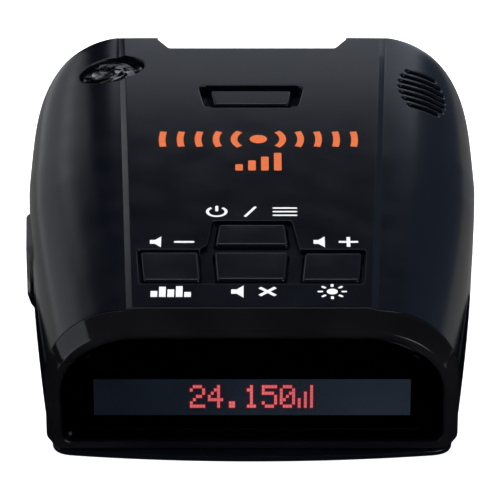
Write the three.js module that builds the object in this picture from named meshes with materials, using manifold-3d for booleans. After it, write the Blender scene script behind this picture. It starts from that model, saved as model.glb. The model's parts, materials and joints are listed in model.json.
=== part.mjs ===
// Windscreen-mounted radar detector, as an assembly of separate parts.
// Millimetres. +X is to the right of someone facing the display, +Y runs forward to the radar
// end, +Z is up. The origin is on the underside, below the middle of the case.

import * as THREE from 'three';
import { mergeVertices } from 'three/addons/utils/BufferGeometryUtils.js';
import Module from 'manifold-3d';

const wasm = await Module();
wasm.setup();

// ---------------------------------------------------------------- driving dimensions

const GAP = 0.3;              // clearance between touching parts
const WALL = 1.8;             // moulded wall of both cases
const BIG = 200;              // larger than the object in every direction

// Plan outline: widest at WIDEST_Y, tapering to the display end, superelliptic at the front.
const WIDTH = 77.3;
const FRONT_Y = 51;
const WIDEST_Y = 10.9;
const CASE_REAR_Y = -45.85;
const TAPER_Y = -44.5;        // station where REAR_HALF_WIDTH is measured
const REAR_HALF_WIDTH = 33.77;
const TAPER_POWER = 1.33;
const SIDE_SHARPNESS = 9.2;
const FRONT_SHARPNESS = 4.45;

// Heights.
const TOP_Z = 26;             // raised deck
const DECK_STEP = 0.55;       // deck above the shoulders
const PARTING_Z = 10.5;
const BOTTOM_RADIUS = 3.5;
const SIDE_DRAFT = 0.02;

// Raised deck: half-width at the display end and how it widens forward.
const DECK_REAR_HALF = 19.2;
const DECK_WIDENING = 0.0406;
const DECK_BEVEL = 1.1;

// Shoulders: height of the elliptic rounding at the side, the display end, the front and its corners.
const SHOULDER_MID = 9.5;
const SHOULDER_REAR = 12.5;
const SHOULDER_FRONT = 2;
const SHOULDER_CORNER = 4;
const SHOULDER_SPREAD = 0.6;
const FRONT_ROUNDING = 1;

// Display end.
const BEZEL_REAR_Y = -49.5;
const LENS_RECESS = 0.6;
const LENS_THICKNESS = 1.5;
const CHIN_Z = 1.0;
const CHIN = { front: -51.65, bow: 1.8, bowHalf: 29.4, cornerY: -46.4, cornerHalf: 32.6, neckHalf: 30.3 };

// A four-sided plan shape from its far and near edges, each as left x, right x and y.
function quad([farLeft, farRight, far], [nearLeft, nearRight, near]) {
  return { farLeft, farRight, far, nearLeft, nearRight, near };
}

// Keys on the deck.
const KEYS = {
  power_menu: quad([-5.5, 5.5, -18.9], [-6.1, 6.0, -25.8]),
  volume_down: quad([-18.4, -8.9, -28.1], [-17.7, -8.4, -37.4]),
  mute: quad([-6.2, 5.9, -28.1], [-5.7, 5.4, -37.1]),
  volume_up: quad([8.7, 18.1, -28.4], [8.1, 17.5, -37.4]),
};
const KEY_GAP = 0.35;
const KEY_FLANGE = 0.7;
const KEY_BOTTOM_Z = 22.5;
const KEY_WELL_DEPTH = 0.9;

// Release key for the windscreen bracket.
const RELEASE = quad([-7.4, 7.0, 29.4], [-6.7, 6.5, 24.1]);
const RELEASE_WELL = quad([-9.5, 9.1, 30.5], [-8.2, 8.0, 22.3]);
const RELEASE_TOP_Z = 25.6;

// Bracket notch in the front edge and the slot behind it.
const NOTCH_MOUTH_HALF = 17;
const NOTCH_BACK_HALF = 14.9;
const NOTCH_BACK_Y = 45.2;
const NOTCH_LIP_Y = 48.8;
const NOTCH_FLOOR_Z = 19.5;
const NOTCH_WALL = 1.5;
const SLOT_HALF = 12;
const SLOT_Z = [21.4, 22.9];

// Speaker grille on the right shoulder.
const GRILLE = { x: 30.1, y: 30.9, slots: 7, pitch: 2.1, halfLength: 4.1, halfHeight: 8.2, width: 1.0 };
const GRILLE_SLOPE = -0.2;
const SPEAKER = { x: 28.0, y: 27, base: 8.8 };

// Top pick-up window on the left shoulder.
const PICKUP = { x: -25, y: 37.6, halfLength: 5.6, halfWidth: 4.1, turn: 0.3, tilt: 0.12 };

// Circuit board level, and the screws.
const BOARD_Z = [15.8, 17.0];
const CASE_SCREWS = {
  front_left: [-29, 44.3], front_right: [29, 44.3], rear_left: [-28, -38], rear_right: [28, -38],
};
const BOARD_SCREWS = {
  front_left: [-21.5, 8], front_right: [21.5, 8], rear_left: [-21.5, -33], rear_right: [21.5, -33],
};
const HORN_SCREWS = { left: [-12.5, 19], right: [12.5, 19] };

// Sockets in the left side: power in a raised surround, audio forward of it.
const POWER = {
  x: [-34.6, -21], y: [-10.6, 1.4], z: [6.0, 15.5], mouthY: [-9.4, 0.3], mouthZ: [7.2, 13.4],
};
const AUDIO = { x: [-34.8, -24.8], y: 6.5, z: 12.7, bore: 1.85 };
const SURROUND = {
  plan: [[-36.5, 4.4], [-37.9, 2.8], [-38.8, 1.6], [-38.3, -9.6], [-37.6, -12.6], [-36, -16]],
  z: [5.5, 17], bevelInset: 1.6, bevelDrop: 1.1,
};

// ---------------------------------------------------------------- materials

function material(color, roughness, metalness = 0) {
  return new THREE.MeshStandardMaterial({ color, roughness, metalness });
}

const CASE_BLACK = () => material(0x202124, 0.55);
const KEY_BLACK = () => material(0x16171b, 0.5);
const BEZEL_BLACK = () => material(0x0b0b0d, 0.25);
const LENS_SMOKE = () => material(0x0c0d12, 0.08);
const BOARD_GREEN = () => material(0x14402c, 0.5);
const CAST_METAL = () => material(0x9b9ca0, 0.45, 0.9);
const STEEL = () => material(0x8d9096, 0.3, 1.0);
const PART_BLACK = () => material(0x17181a, 0.6);
const PART_CREAM = () => material(0xcfcabc, 0.6);

// ---------------------------------------------------------------- solids

function signedVolume(positions, index) {
  const a = new THREE.Vector3();
  const b = new THREE.Vector3();
  const c = new THREE.Vector3();
  let sum = 0;
  for (let i = 0; i < index.length; i += 3) {
    a.fromArray(positions, 3 * index[i]);
    b.fromArray(positions, 3 * index[i + 1]);
    c.fromArray(positions, 3 * index[i + 2]);
    sum += a.dot(b.cross(c));
  }
  return sum / 6;
}

// A closed three.js geometry as a manifold solid facing outwards.
function solid(geometry) {
  geometry.deleteAttribute('normal');
  geometry.deleteAttribute('uv');
  const merged = mergeVertices(geometry, 1e-4);
  const positions = Float32Array.from(merged.attributes.position.array);
  const corners = Array.from(merged.index.array);
  const triangles = [];
  for (let i = 0; i < corners.length; i += 3) {
    const [a, b, c] = corners.slice(i, i + 3);
    if (a !== b && b !== c && c !== a) {
      triangles.push(a, b, c);
    }
  }
  if (signedVolume(positions, triangles) < 0) {
    triangles.reverse();
  }
  const triVerts = Uint32Array.from(triangles);
  return new wasm.Manifold(new wasm.Mesh({ numProp: 3, vertProperties: positions, triVerts }));
}

function toGeometry(manifold) {
  const mesh = manifold.getMesh();
  const geometry = new THREE.BufferGeometry();
  geometry.setAttribute('position', new THREE.BufferAttribute(Float32Array.from(mesh.vertProperties), 3));
  geometry.setIndex(new THREE.BufferAttribute(Uint32Array.from(mesh.triVerts), 1));
  geometry.computeVertexNormals();
  return geometry;
}

function box(x0, x1, y0, y1, z0, z1) {
  const geometry = new THREE.BoxGeometry(x1 - x0, y1 - y0, z1 - z0);
  geometry.translate((x0 + x1) / 2, (y0 + y1) / 2, (z0 + z1) / 2);
  return solid(geometry);
}

function rod(x, y, z0, z1, radius, segments = 14) {
  const geometry = new THREE.CylinderGeometry(radius, radius, z1 - z0, segments);
  geometry.rotateX(Math.PI / 2);
  geometry.translate(x, y, (z0 + z1) / 2);
  return solid(geometry);
}

function rodAlongX(y, z, x0, x1, radius, segments = 18) {
  const geometry = new THREE.CylinderGeometry(radius, radius, x1 - x0, segments);
  geometry.rotateZ(Math.PI / 2);
  geometry.translate((x0 + x1) / 2, y, z);
  return solid(geometry);
}

// Extrusions of an outline in the XY, XZ or YZ plane.
function extrude(points, depth, xAxis, yAxis, zAxis, origin) {
  const geometry = new THREE.ExtrudeGeometry(new THREE.Shape(points), { depth, bevelEnabled: false });
  geometry.applyMatrix4(new THREE.Matrix4().makeBasis(xAxis, yAxis, zAxis));
  geometry.translate(origin.x, origin.y, origin.z);
  return solid(geometry);
}

const X_AXIS = new THREE.Vector3(1, 0, 0);
const Y_AXIS = new THREE.Vector3(0, 1, 0);
const Z_AXIS = new THREE.Vector3(0, 0, 1);
const MINUS_Y = new THREE.Vector3(0, -1, 0);

function prismZ(points, z0, z1) {
  return extrude(points, z1 - z0, X_AXIS, Y_AXIS, Z_AXIS, new THREE.Vector3(0, 0, z0));
}

function prismY(points, y0, y1) {
  return extrude(points, y1 - y0, X_AXIS, Z_AXIS, MINUS_Y, new THREE.Vector3(0, y1, 0));
}

function prismX(points, x0, x1) {
  return extrude(points, x1 - x0, Y_AXIS, Z_AXIS, X_AXIS, new THREE.Vector3(x0, 0, 0));
}

// A skin through closed loops of equal length, with flat ends.
function loft(rings) {
  const count = rings[0].length;
  const points = rings.flat();
  const index = [];
  for (let r = 0; r < rings.length - 1; r += 1) {
    for (let i = 0; i < count; i += 1) {
      const a = r * count + i;
      const b = r * count + ((i + 1) % count);
      index.push(a, b, b + count, a, b + count, a + count);
    }
  }
  for (const [start, reversed] of [[0, true], [(rings.length - 1) * count, false]]) {
    const centre = new THREE.Vector3();
    for (let i = 0; i < count; i += 1) {
      centre.addScaledVector(points[start + i], 1 / count);
    }
    const hub = points.push(centre) - 1;
    for (let i = 0; i < count; i += 1) {
      const a = start + i;
      const b = start + ((i + 1) % count);
      index.push(...(reversed ? [hub, b, a] : [hub, a, b]));
    }
  }
  const geometry = new THREE.BufferGeometry().setFromPoints(points);
  geometry.setIndex(index);
  return solid(geometry);
}

// Replaces each corner of an outline by a short curve.
function roundCorners(corners, radius, steps = 4) {
  const points = [];
  corners.forEach((corner, i) => {
    const before = corners[(i + corners.length - 1) % corners.length];
    const after = corners[(i + 1) % corners.length];
    const start = corner.clone().add(before.clone().sub(corner).setLength(radius));
    const end = corner.clone().add(after.clone().sub(corner).setLength(radius));
    const curve = new THREE.QuadraticBezierCurve(start, corner, end);
    points.push(...curve.getPoints(steps));
  });
  return points;
}

function rectangle(x0, x1, y0, y1) {
  return [[x0, y0], [x1, y0], [x1, y1], [x0, y1]].map(([x, y]) => new THREE.Vector2(x, y));
}

function keyOutline(key, grow, radius) {
  const corners = [
    new THREE.Vector2(key.nearLeft - grow, key.near - grow),
    new THREE.Vector2(key.nearRight + grow, key.near - grow),
    new THREE.Vector2(key.farRight + grow, key.far + grow),
    new THREE.Vector2(key.farLeft - grow, key.far + grow),
  ];
  return roundCorners(corners, radius);
}

function ringAt(points, z) {
  return points.map((p) => new THREE.Vector3(p.x, p.y, z));
}

// ---------------------------------------------------------------- case shape

function deckHalf(y) {
  return DECK_REAR_HALF + DECK_WIDENING * (y - CASE_REAR_Y);
}

function shoulderHeight(y) {
  const toRear = THREE.MathUtils.clamp(y / CASE_REAR_Y, 0, 1);
  return THREE.MathUtils.lerp(SHOULDER_MID, SHOULDER_REAR, toRear);
}

function sideHalfWidth(y) {
  const run = (WIDEST_Y - y) / (WIDEST_Y - TAPER_Y);
  return WIDTH / 2 - (WIDTH / 2 - REAR_HALF_WIDTH) * run ** TAPER_POWER;
}

// Right half of the plan outline with its outward normals, from the display end to the front.
function halfOutline(rearY) {
  const sideSteps = 8;
  const cornerSteps = 15;
  const points = [];
  for (let i = 0; i < sideSteps; i += 1) {
    const y = THREE.MathUtils.lerp(rearY, WIDEST_Y, i / sideSteps);
    points.push({ x: sideHalfWidth(y), y, nx: 1, ny: 0 });
  }
  const a = WIDTH / 2;
  const b = FRONT_Y - WIDEST_Y;
  for (let i = 0; i <= cornerSteps; i += 1) {
    const t = (i / cornerSteps) * (Math.PI / 2);
    const u = i === cornerSteps ? 0 : Math.cos(t) ** (2 / SIDE_SHARPNESS);
    const v = Math.sin(t) ** (2 / FRONT_SHARPNESS);
    const normal = new THREE.Vector2(
      (SIDE_SHARPNESS * u ** (SIDE_SHARPNESS - 1)) / a,
      (FRONT_SHARPNESS * v ** (FRONT_SHARPNESS - 1)) / b,
    ).normalize();
    points.push({ x: a * u, y: WIDEST_Y + b * v, nx: normal.x, ny: normal.y });
  }
  return points;
}

// The case's outer form, or the same form pulled in by a wall thickness.
function caseForm(inset, rearY) {
  const half = halfOutline(rearY);
  const shoulderTop = TOP_Z - DECK_STEP - inset;
  const rows = [];
  const pullIn = (z) => {
    const rise = Math.max(BOTTOM_RADIUS - z, 0);
    const round = BOTTOM_RADIUS - Math.sqrt(BOTTOM_RADIUS ** 2 - rise ** 2);
    return inset + round + SIDE_DRAFT * Math.max(PARTING_Z - z, 0);
  };
  const sideHeights = inset > 0 ? [inset, 4, PARTING_Z] : [0, 0.6, 1.8, BOTTOM_RADIUS, PARTING_Z];
  for (const z of sideHeights) {
    const pull = pullIn(z);
    rows.push(half.map((p) => new THREE.Vector3(p.x - pull * p.nx, p.y - pull * p.ny, z)));
  }
  const roundingSteps = inset > 0 ? 5 : 7;
  const deckEdge = (p, margin) => {
    const x0 = p.x - inset * p.nx;
    const y0 = p.y - inset * p.ny;
    const over = THREE.MathUtils.clamp((x0 - deckHalf(y0)) / (WIDTH / 2 - deckHalf(y0)), 0, 1);
    const turned = THREE.MathUtils.clamp(over / SHOULDER_SPREAD, 0, 1);
    const side = THREE.MathUtils.lerp(shoulderHeight(y0), SHOULDER_CORNER, p.ny);
    const height = THREE.MathUtils.lerp(SHOULDER_FRONT, side, turned);
    const pullBack = p.ny > 0 ? FRONT_ROUNDING * (1 - over) : 0;
    return { x0, y0, height, x: Math.min(x0, deckHalf(y0) + margin), y: y0 - pullBack };
  };
  for (let i = 0; i <= roundingSteps; i += 1) {
    const t = (i / roundingSteps) * (Math.PI / 2);
    rows.push(half.map((p) => {
      const edge = deckEdge(p, DECK_BEVEL);
      const k = 1 - Math.cos(t);
      return new THREE.Vector3(
        THREE.MathUtils.lerp(edge.x0, edge.x, k),
        THREE.MathUtils.lerp(edge.y0, edge.y, k),
        shoulderTop - edge.height * (1 - Math.sin(t)),
      );
    }));
  }
  rows.push(half.map((p) => {
    const edge = deckEdge(p, 0);
    const pullBack = p.ny > 0 ? DECK_BEVEL * p.ny : 0;
    return new THREE.Vector3(edge.x, edge.y - pullBack, TOP_Z - inset);
  }));
  return loft(rows.map((row) => {
    const left = row.slice(0, -1).reverse().map((p) => new THREE.Vector3(-p.x, p.y, p.z));
    return [...row, ...left];
  }));
}

// ---------------------------------------------------------------- display end

// A loop in the XZ plane with elliptic top corners, at a given station along Y.
function hoodLoop({ flat, top, step, reach, height, bottom, cornerRadius }, y) {
  const drop = step * (DECK_STEP / DECK_BEVEL);
  const right = [new THREE.Vector3(flat, y, top), new THREE.Vector3(flat + step, y, top - drop)];
  const x0 = flat + step;
  const z0 = right[1].z - height;
  const steps = 8;
  for (let i = 1; i <= steps; i += 1) {
    const t = (i / steps) * (Math.PI / 2);
    right.push(new THREE.Vector3(x0 + (reach - x0) * Math.sin(t), y, z0 + height * Math.cos(t)));
  }
  const lowSteps = 4;
  const lowest = Math.acos(THREE.MathUtils.clamp(1 - bottom / cornerRadius, -1, 1));
  const turn = Math.PI / 2 - lowest;
  const foot = (angle) => new THREE.Vector3(
    reach - cornerRadius * (1 - Math.cos(angle)), y, cornerRadius * (1 - Math.sin(angle)),
  );
  for (let i = 0; i <= lowSteps; i += 1) {
    right.push(foot((i / lowSteps) * turn));
  }
  const left = [...right].reverse().map((p) => new THREE.Vector3(-p.x, p.y, p.z));
  return [...right, ...left];
}

const HOOD_CASE = {
  flat: deckHalf(CASE_REAR_Y), top: TOP_Z, step: DECK_BEVEL, reach: sideHalfWidth(CASE_REAR_Y - GAP),
  height: SHOULDER_REAR, bottom: CHIN_Z + GAP, cornerRadius: 2.4,
};
const HOOD_RIDGE = {
  flat: 18.2, top: 23.9, step: 1.0, reach: 32.1, height: 10.8, bottom: CHIN_Z + GAP, cornerRadius: 2.2,
};
const HOOD_FACE = {
  flat: 18.2, top: 23.6, step: 1.0, reach: 31.8, height: 10.6, bottom: CHIN_Z + GAP, cornerRadius: 2.0,
};

// The display opening and smaller copies of it, as an outline in XZ.
function openingOutline(inset) {
  const reach = 31 - inset;
  const top = 22.1 - inset;
  const flat = 18;
  const height = 10 - inset;
  const bottom = 2.3 + inset;
  const corner = 2.2;
  const shape = new THREE.Shape();
  shape.moveTo(flat, top);
  shape.absellipse(flat, top - height, reach - flat, height, Math.PI / 2, 0, true);
  shape.lineTo(reach, bottom + corner);
  shape.absarc(reach - corner, bottom + corner, corner, 0, -Math.PI / 2, true);
  shape.lineTo(-reach + corner, bottom);
  shape.absarc(-reach + corner, bottom + corner, corner, -Math.PI / 2, -Math.PI, true);
  shape.lineTo(-reach, top - height);
  shape.absellipse(-flat, top - height, reach - flat, height, Math.PI, Math.PI / 2, true);
  return shape.getPoints(6);
}

const LENS_FRONT_Y = BEZEL_REAR_Y + LENS_RECESS;
const LENS_BACK_Y = LENS_FRONT_Y + LENS_THICKNESS;
const LEDGE_Y = LENS_BACK_Y + GAP;
const BEZEL_BACK_Y = CASE_REAR_Y - GAP;
const LEDGE = 1.5;

function rearBezel() {
  const body = loft([
    hoodLoop(HOOD_FACE, BEZEL_REAR_Y),
    hoodLoop(HOOD_RIDGE, BEZEL_REAR_Y + 0.3),
    hoodLoop(HOOD_CASE, BEZEL_BACK_Y),
  ]);
  const skirt = prismY(openingOutline(LEDGE - 1.2), BEZEL_BACK_Y - 0.1, -43.6);
  const pocket = prismY(openingOutline(0), -BIG, LEDGE_Y);
  const through = prismY(openingOutline(LEDGE), -BIG, BIG);
  return body.add(skirt).subtract(pocket).subtract(through);
}

const WINDOW = { half: 25.7, z0: 6.3, z1: 13.4 };

function displayMask() {
  const sheet = prismY(openingOutline(LEDGE + GAP), LEDGE_Y, LEDGE_Y + 0.4);
  return sheet.subtract(box(-WINDOW.half, WINDOW.half, -BIG, BIG, WINDOW.z0, WINDOW.z1));
}

// Ribbon cable: up behind the display board and over the rear edge of the main board.
function displayFlex() {
  const half = 7;
  const thickness = 0.3;
  const inner = 1.2;
  const behind = -42.9;
  const level = 18.0;
  const shape = new THREE.Shape();
  shape.moveTo(behind, 9);
  shape.lineTo(behind + thickness, 9);
  shape.lineTo(behind + thickness, level - inner);
  shape.absarc(behind + thickness + inner, level - inner, inner, Math.PI, Math.PI / 2, true);
  shape.lineTo(-39.8, level);
  shape.lineTo(-39.8, level + thickness);
  shape.lineTo(behind + thickness + inner, level + thickness);
  shape.absarc(behind + thickness + inner, level - inner, inner + thickness, Math.PI / 2, Math.PI, false);
  return prismX(shape.getPoints(5), -half, half);
}

// ---------------------------------------------------------------- cases

function keyWell() {
  const corners = [
    [-18.3, -38.5], [18.2, -38.5], [18.8, -27.5], [7.9, -27.5], [6.6, -17.9],
    [-6.6, -17.9], [-7.4, -26.0], [-8.6, -27.5], [-18.9, -27.5],
  ].map(([x, y]) => new THREE.Vector2(x, y));
  return prismZ(roundCorners(corners, 0.5, 2), TOP_Z - KEY_WELL_DEPTH, BIG);
}

function grilleSlots() {
  const middle = (GRILLE.slots - 1) / 2;
  const cutters = [];
  for (let i = 0; i < GRILLE.slots; i += 1) {
    const offset = (i - middle) * GRILLE.pitch;
    const reach = GRILLE.halfLength * Math.sqrt(1 - (offset / GRILLE.halfHeight) ** 2);
    const bar = rectangle(-reach, reach, -GRILLE.width / 2, GRILLE.width / 2);
    const outline = roundCorners(bar, 0.48 * GRILLE.width, 3);
    const centre = new THREE.Vector2(GRILLE.x, GRILLE.y + offset);
    const turn = Math.atan(GRILLE_SLOPE);
    const placed = outline.map((p) => p.rotateAround(new THREE.Vector2(), turn).add(centre));
    cutters.push(prismZ(placed, 17.5, BIG));
  }
  return cutters;
}

function pickupOutline(grow, sides) {
  const centre = new THREE.Vector2(PICKUP.x, PICKUP.y);
  const points = [];
  for (let i = 0; i < sides; i += 1) {
    const t = ((i + 0.5) / sides) * 2 * Math.PI;
    const x = (PICKUP.halfLength + grow) * Math.cos(t);
    const y = (PICKUP.halfWidth + grow) * Math.sin(t);
    points.push(new THREE.Vector2(x, y).rotateAround(new THREE.Vector2(), PICKUP.turn).add(centre));
  }
  return points;
}

function notchCut() {
  const corners = [
    [-NOTCH_BACK_HALF, NOTCH_BACK_Y], [NOTCH_BACK_HALF, NOTCH_BACK_Y], [NOTCH_MOUTH_HALF, NOTCH_LIP_Y],
    [NOTCH_MOUTH_HALF, 60], [-NOTCH_MOUTH_HALF, 60], [-NOTCH_MOUTH_HALF, NOTCH_LIP_Y],
  ].map(([x, y]) => new THREE.Vector2(x, y));
  return prismZ(corners, NOTCH_FLOOR_Z, BIG);
}

const WINDOW_FRONT = { half: 24, z0: 4, z1: 17 };

function windowCut() {
  const { half, z0, z1 } = WINDOW_FRONT;
  return prismY(roundCorners(rectangle(-half, half, z0, z1), 2), 48, 60);
}

function socketCuts() {
  const [y0, y1] = POWER.mouthY;
  const [z0, z1] = POWER.mouthZ;
  return box(-60, POWER.x[0] + 2, y0 - 0.2, y1 + 0.2, z0 - 0.2, z1 + 0.2)
    .add(rodAlongX(AUDIO.y, AUDIO.z, -60, AUDIO.x[0] + 2, AUDIO.bore + 0.7));
}

// A bevelled pad on the left flank, round the mouth of the power socket.
function socketSurround() {
  const { plan, z, bevelInset, bevelDrop } = SURROUND;
  const levels = [[z[0], bevelInset], [z[0] + bevelDrop, 0], [z[1] - bevelDrop, 0], [z[1], bevelInset]];
  const ring = (height, inset) => plan.map(([x, y]) => new THREE.Vector3(x + inset, y, height));
  return loft(levels.map(([height, inset]) => ring(height, inset)));
}

const outerForm = caseForm(0, CASE_REAR_Y).add(socketSurround());
const innerForm = caseForm(WALL, CASE_REAR_Y - 2);
const sharedCuts = windowCut().add(socketCuts());

function topCase() {
  const notchHousing = box(
    -NOTCH_MOUTH_HALF - NOTCH_WALL, NOTCH_MOUTH_HALF + NOTCH_WALL,
    NOTCH_BACK_Y - NOTCH_WALL, BIG, NOTCH_FLOOR_Z - NOTCH_WALL, BIG,
  );
  let shell = outerForm.subtract(innerForm.subtract(notchHousing));
  for (const [x, y] of Object.values(CASE_SCREWS)) {
    shell = shell.add(rod(x, y, PARTING_Z, BIG, 2.6).intersect(outerForm));
  }
  shell = shell.intersect(box(-BIG, BIG, -BIG, BIG, PARTING_Z + GAP / 2, BIG));
  for (const [x, y] of Object.values(CASE_SCREWS)) {
    shell = shell.subtract(rod(x, y, 0, 17, 1.25));
  }
  shell = shell.subtract(notchCut()).subtract(sharedCuts).subtract(keyWell());
  shell = shell.subtract(box(-SLOT_HALF - 0.1, SLOT_HALF + 0.1, 40, 60, SLOT_Z[0] - 0.1, SLOT_Z[1] + 0.1));
  for (const key of Object.values(KEYS)) {
    shell = shell.subtract(prismZ(keyOutline(key, KEY_GAP, 0.7), 20, BIG));
  }
  shell = shell.subtract(prismZ(keyOutline(RELEASE_WELL, 0, 1.4), 20, BIG));
  for (const slot of grilleSlots()) {
    shell = shell.subtract(slot);
  }
  return shell.subtract(prismZ(pickupOutline(GAP, 16), 18, BIG));
}

const SCREW_HEAD_SEAT = 6.0;

// The thin lip under the display: bowed forward in the middle, with round corners.
function chinOutline() {
  const { front, bow, bowHalf, cornerY, cornerHalf, neckHalf } = CHIN;
  const half = [CASE_REAR_Y + 1, CASE_REAR_Y - 0.2].map((y) => new THREE.Vector2(neckHalf, y));
  const bowEnd = new THREE.Vector2(bowHalf, front + bow);
  const turn = new THREE.QuadraticBezierCurve(
    new THREE.Vector2(cornerHalf, cornerY), new THREE.Vector2(cornerHalf, front + 1.25 * bow), bowEnd,
  );
  half.push(...turn.getPoints(5));
  const steps = 7;
  for (let i = steps - 1; i >= 0; i -= 1) {
    const share = i / steps;
    half.push(new THREE.Vector2(bowHalf * share, front + bow * share ** 2));
  }
  const mirrored = half.slice(0, -1).reverse().map((p) => new THREE.Vector2(-p.x, p.y));
  return [...half, ...mirrored];
}

function bottomCase() {
  const below = box(-BIG, BIG, -BIG, BIG, -BIG, PARTING_Z - GAP / 2);
  let shell = outerForm.subtract(innerForm).intersect(below);
  shell = shell.add(prismZ(chinOutline(), 0, CHIN_Z));
  const floorTop = WALL - 0.2;
  for (const [x, y] of Object.values(CASE_SCREWS)) {
    shell = shell.add(rod(x, y, 0.5, PARTING_Z - GAP / 2, 3.2));
    shell = shell.subtract(rod(x, y, -1, SCREW_HEAD_SEAT, 2.3));
    shell = shell.subtract(rod(x, y, -1, 20, 1.3));
  }
  for (const [x, y] of Object.values(BOARD_SCREWS)) {
    shell = shell.add(rod(x, y, floorTop, BOARD_Z[0] - GAP, 2.2)).subtract(rod(x, y, 9, 20, 1.1));
  }
  for (const x of [-14, 12]) {
    shell = shell.add(box(x, x + 2, 16, 44, floorTop, 2.9));
  }
  shell = shell.add(rod(SPEAKER.x, SPEAKER.y, floorTop, SPEAKER.base - GAP, 3.5));
  shell = shell.add(box(18.6, 24.4, 40.3, 44.2, floorTop, 5.7));
  return shell.subtract(sharedCuts);
}

// ---------------------------------------------------------------- keys and switches

function key(name) {
  const outline = KEYS[name];
  const stem = loft([
    ringAt(keyOutline(outline, 0, 0.6), KEY_BOTTOM_Z),
    ringAt(keyOutline(outline, 0, 0.6), TOP_Z - 0.35),
    ringAt(keyOutline(outline, -0.35, 0.6), TOP_Z),
  ]);
  return stem.add(prismZ(keyOutline(outline, KEY_FLANGE, 0.6), KEY_BOTTOM_Z, TOP_Z - WALL - GAP));
}

function keyCentre(outline) {
  const x = (outline.farLeft + outline.farRight + outline.nearLeft + outline.nearRight) / 4;
  return [x, (outline.far + outline.near) / 2];
}

const SWITCH = { half: 3, z0: BOARD_Z[1] + GAP, z1: 20.7, bore: 2.0, boreFloor: 17.75 };

function switchBody(x, y) {
  const { half, z0, z1, bore, boreFloor } = SWITCH;
  return box(x - half, x + half, y - half, y + half, z0, z1).subtract(rod(x, y, boreFloor, BIG, bore));
}

function switchPlunger(x, y) {
  return rod(x, y, 18.6, KEY_BOTTOM_Z - GAP, 1.65);
}

// ---------------------------------------------------------------- bracket release

function releaseKey() {
  const block = loft([
    ringAt(keyOutline(RELEASE, 0.3, 0.6), 22.0),
    ringAt(keyOutline(RELEASE, 0, 0.6), RELEASE_TOP_Z - 0.4),
    ringAt(keyOutline(RELEASE, -0.4, 0.6), RELEASE_TOP_Z),
  ]);
  return block.add(prismZ(keyOutline(RELEASE_WELL, 0.7, 1.4), 21.9, TOP_Z - WALL - GAP));
}

function bracketLatch() {
  const blade = box(-5, 5, 23, 39.4, 20.6, 21.6);
  const ramp = [[36.6, 21.5], [39.4, 21.5], [39.4, 21.9], [36.6, 22.6]];
  const tooth = prismX(ramp.map(([y, z]) => new THREE.Vector2(y, z)), -4, 4);
  return blade.add(tooth);
}

function bracketChannel() {
  const block = box(-14, 14, 32.2, NOTCH_BACK_Y - NOTCH_WALL - GAP, 18.2, TOP_Z - WALL - GAP);
  const slot = box(-SLOT_HALF, SLOT_HALF, 33.4, BIG, SLOT_Z[0], SLOT_Z[1]);
  const latchBay = box(-5.6, 5.6, 0, 40, 0, SLOT_Z[1]);
  return block.subtract(slot).subtract(latchBay);
}

// Compression spring as a round wire along a helix, with closed ends.
function releaseSpring() {
  const turns = 2.5;
  const coil = 2.4;
  const centreY = 26.7;
  const wire = 0.2;
  const low = BOARD_Z[1] + GAP + wire;
  const high = 20.6 - GAP - wire;
  class Helix extends THREE.Curve {
    getPoint(t, target = new THREE.Vector3()) {
      const angle = 2 * Math.PI * turns * t;
      const z = THREE.MathUtils.lerp(low, high, t);
      return target.set(coil * Math.cos(angle), centreY + coil * Math.sin(angle), z);
    }
  }
  const section = new THREE.Shape();
  section.absarc(0, 0, wire, 0, 2 * Math.PI, false);
  const corners = section.getSpacedPoints(6).slice(0, 6);
  const options = { steps: 32, extrudePath: new Helix() };
  const geometry = new THREE.ExtrudeGeometry(new THREE.Shape(corners), options);
  return solid(geometry);
}

// ---------------------------------------------------------------- electronics

function mainBoard() {
  let board = box(-25, 25, -40.5, 13.5, BOARD_Z[0], BOARD_Z[1]);
  for (const [x, y] of Object.values(BOARD_SCREWS)) {
    board = board.subtract(rod(x, y, 0, BIG, 1.2));
  }
  return board;
}

function radioBoard() {
  let board = box(-16, 16, 15, 41, BOARD_Z[0], BOARD_Z[1]);
  for (const [x, y] of Object.values(HORN_SCREWS)) {
    board = board.subtract(rod(x, y, 0, BIG, 1.2));
  }
  return board;
}

function hornAntenna() {
  const block = box(-17, 17, 14.5, 47.5, 3.2, BOARD_Z[0] - GAP);
  const throat = ringAt(rectangle(-4, 4, 7.6, 11), 26).map((p) => new THREE.Vector3(p.x, 26, p.y));
  const mouth = rectangle(-15.6, 15.6, 4.5, 14.2).map((p) => new THREE.Vector3(p.x, 48, p.y));
  let horn = block.subtract(loft([mouth, throat]));
  for (const [x, y] of Object.values(HORN_SCREWS)) {
    horn = horn.subtract(rod(x, y, 8, BIG, 1.1));
  }
  return horn;
}

function shieldCan() {
  return box(-14, 14, -12, 9, 17.3, 20.3).subtract(box(-13.6, 13.6, -11.6, 8.6, 0, 19.9));
}

function capacitor(x, y) {
  return rod(x, y, 17.3, 22.3, 2.5, 20).subtract(box(x - 1.6, x + 1.6, y - 0.15, y + 0.15, 22.1, BIG));
}

function frontWindow() {
  const { half, z0, z1 } = WINDOW_FRONT;
  const pane = rectangle(-half + GAP, half - GAP, z0 + GAP, z1 - GAP);
  const flange = rectangle(-half - 1, half + 1, z0 - 0.8, z1 + 0.7);
  return prismY(roundCorners(pane, 2), 48.3, 50.7).add(prismY(roundCorners(flange, 2), 47.95, 48.6));
}

function laserLens() {
  const profile = [[0, 0], [2.9, 0], [2.9, 1.6], [2.5, 2.1], [1.7, 2.6], [0.8, 2.85], [0, 2.9]];
  const geometry = new THREE.LatheGeometry(profile.map(([r, h]) => new THREE.Vector2(r, h)), 20);
  geometry.translate(21.5, 44.8, 9.5);
  return solid(geometry);
}

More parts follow.
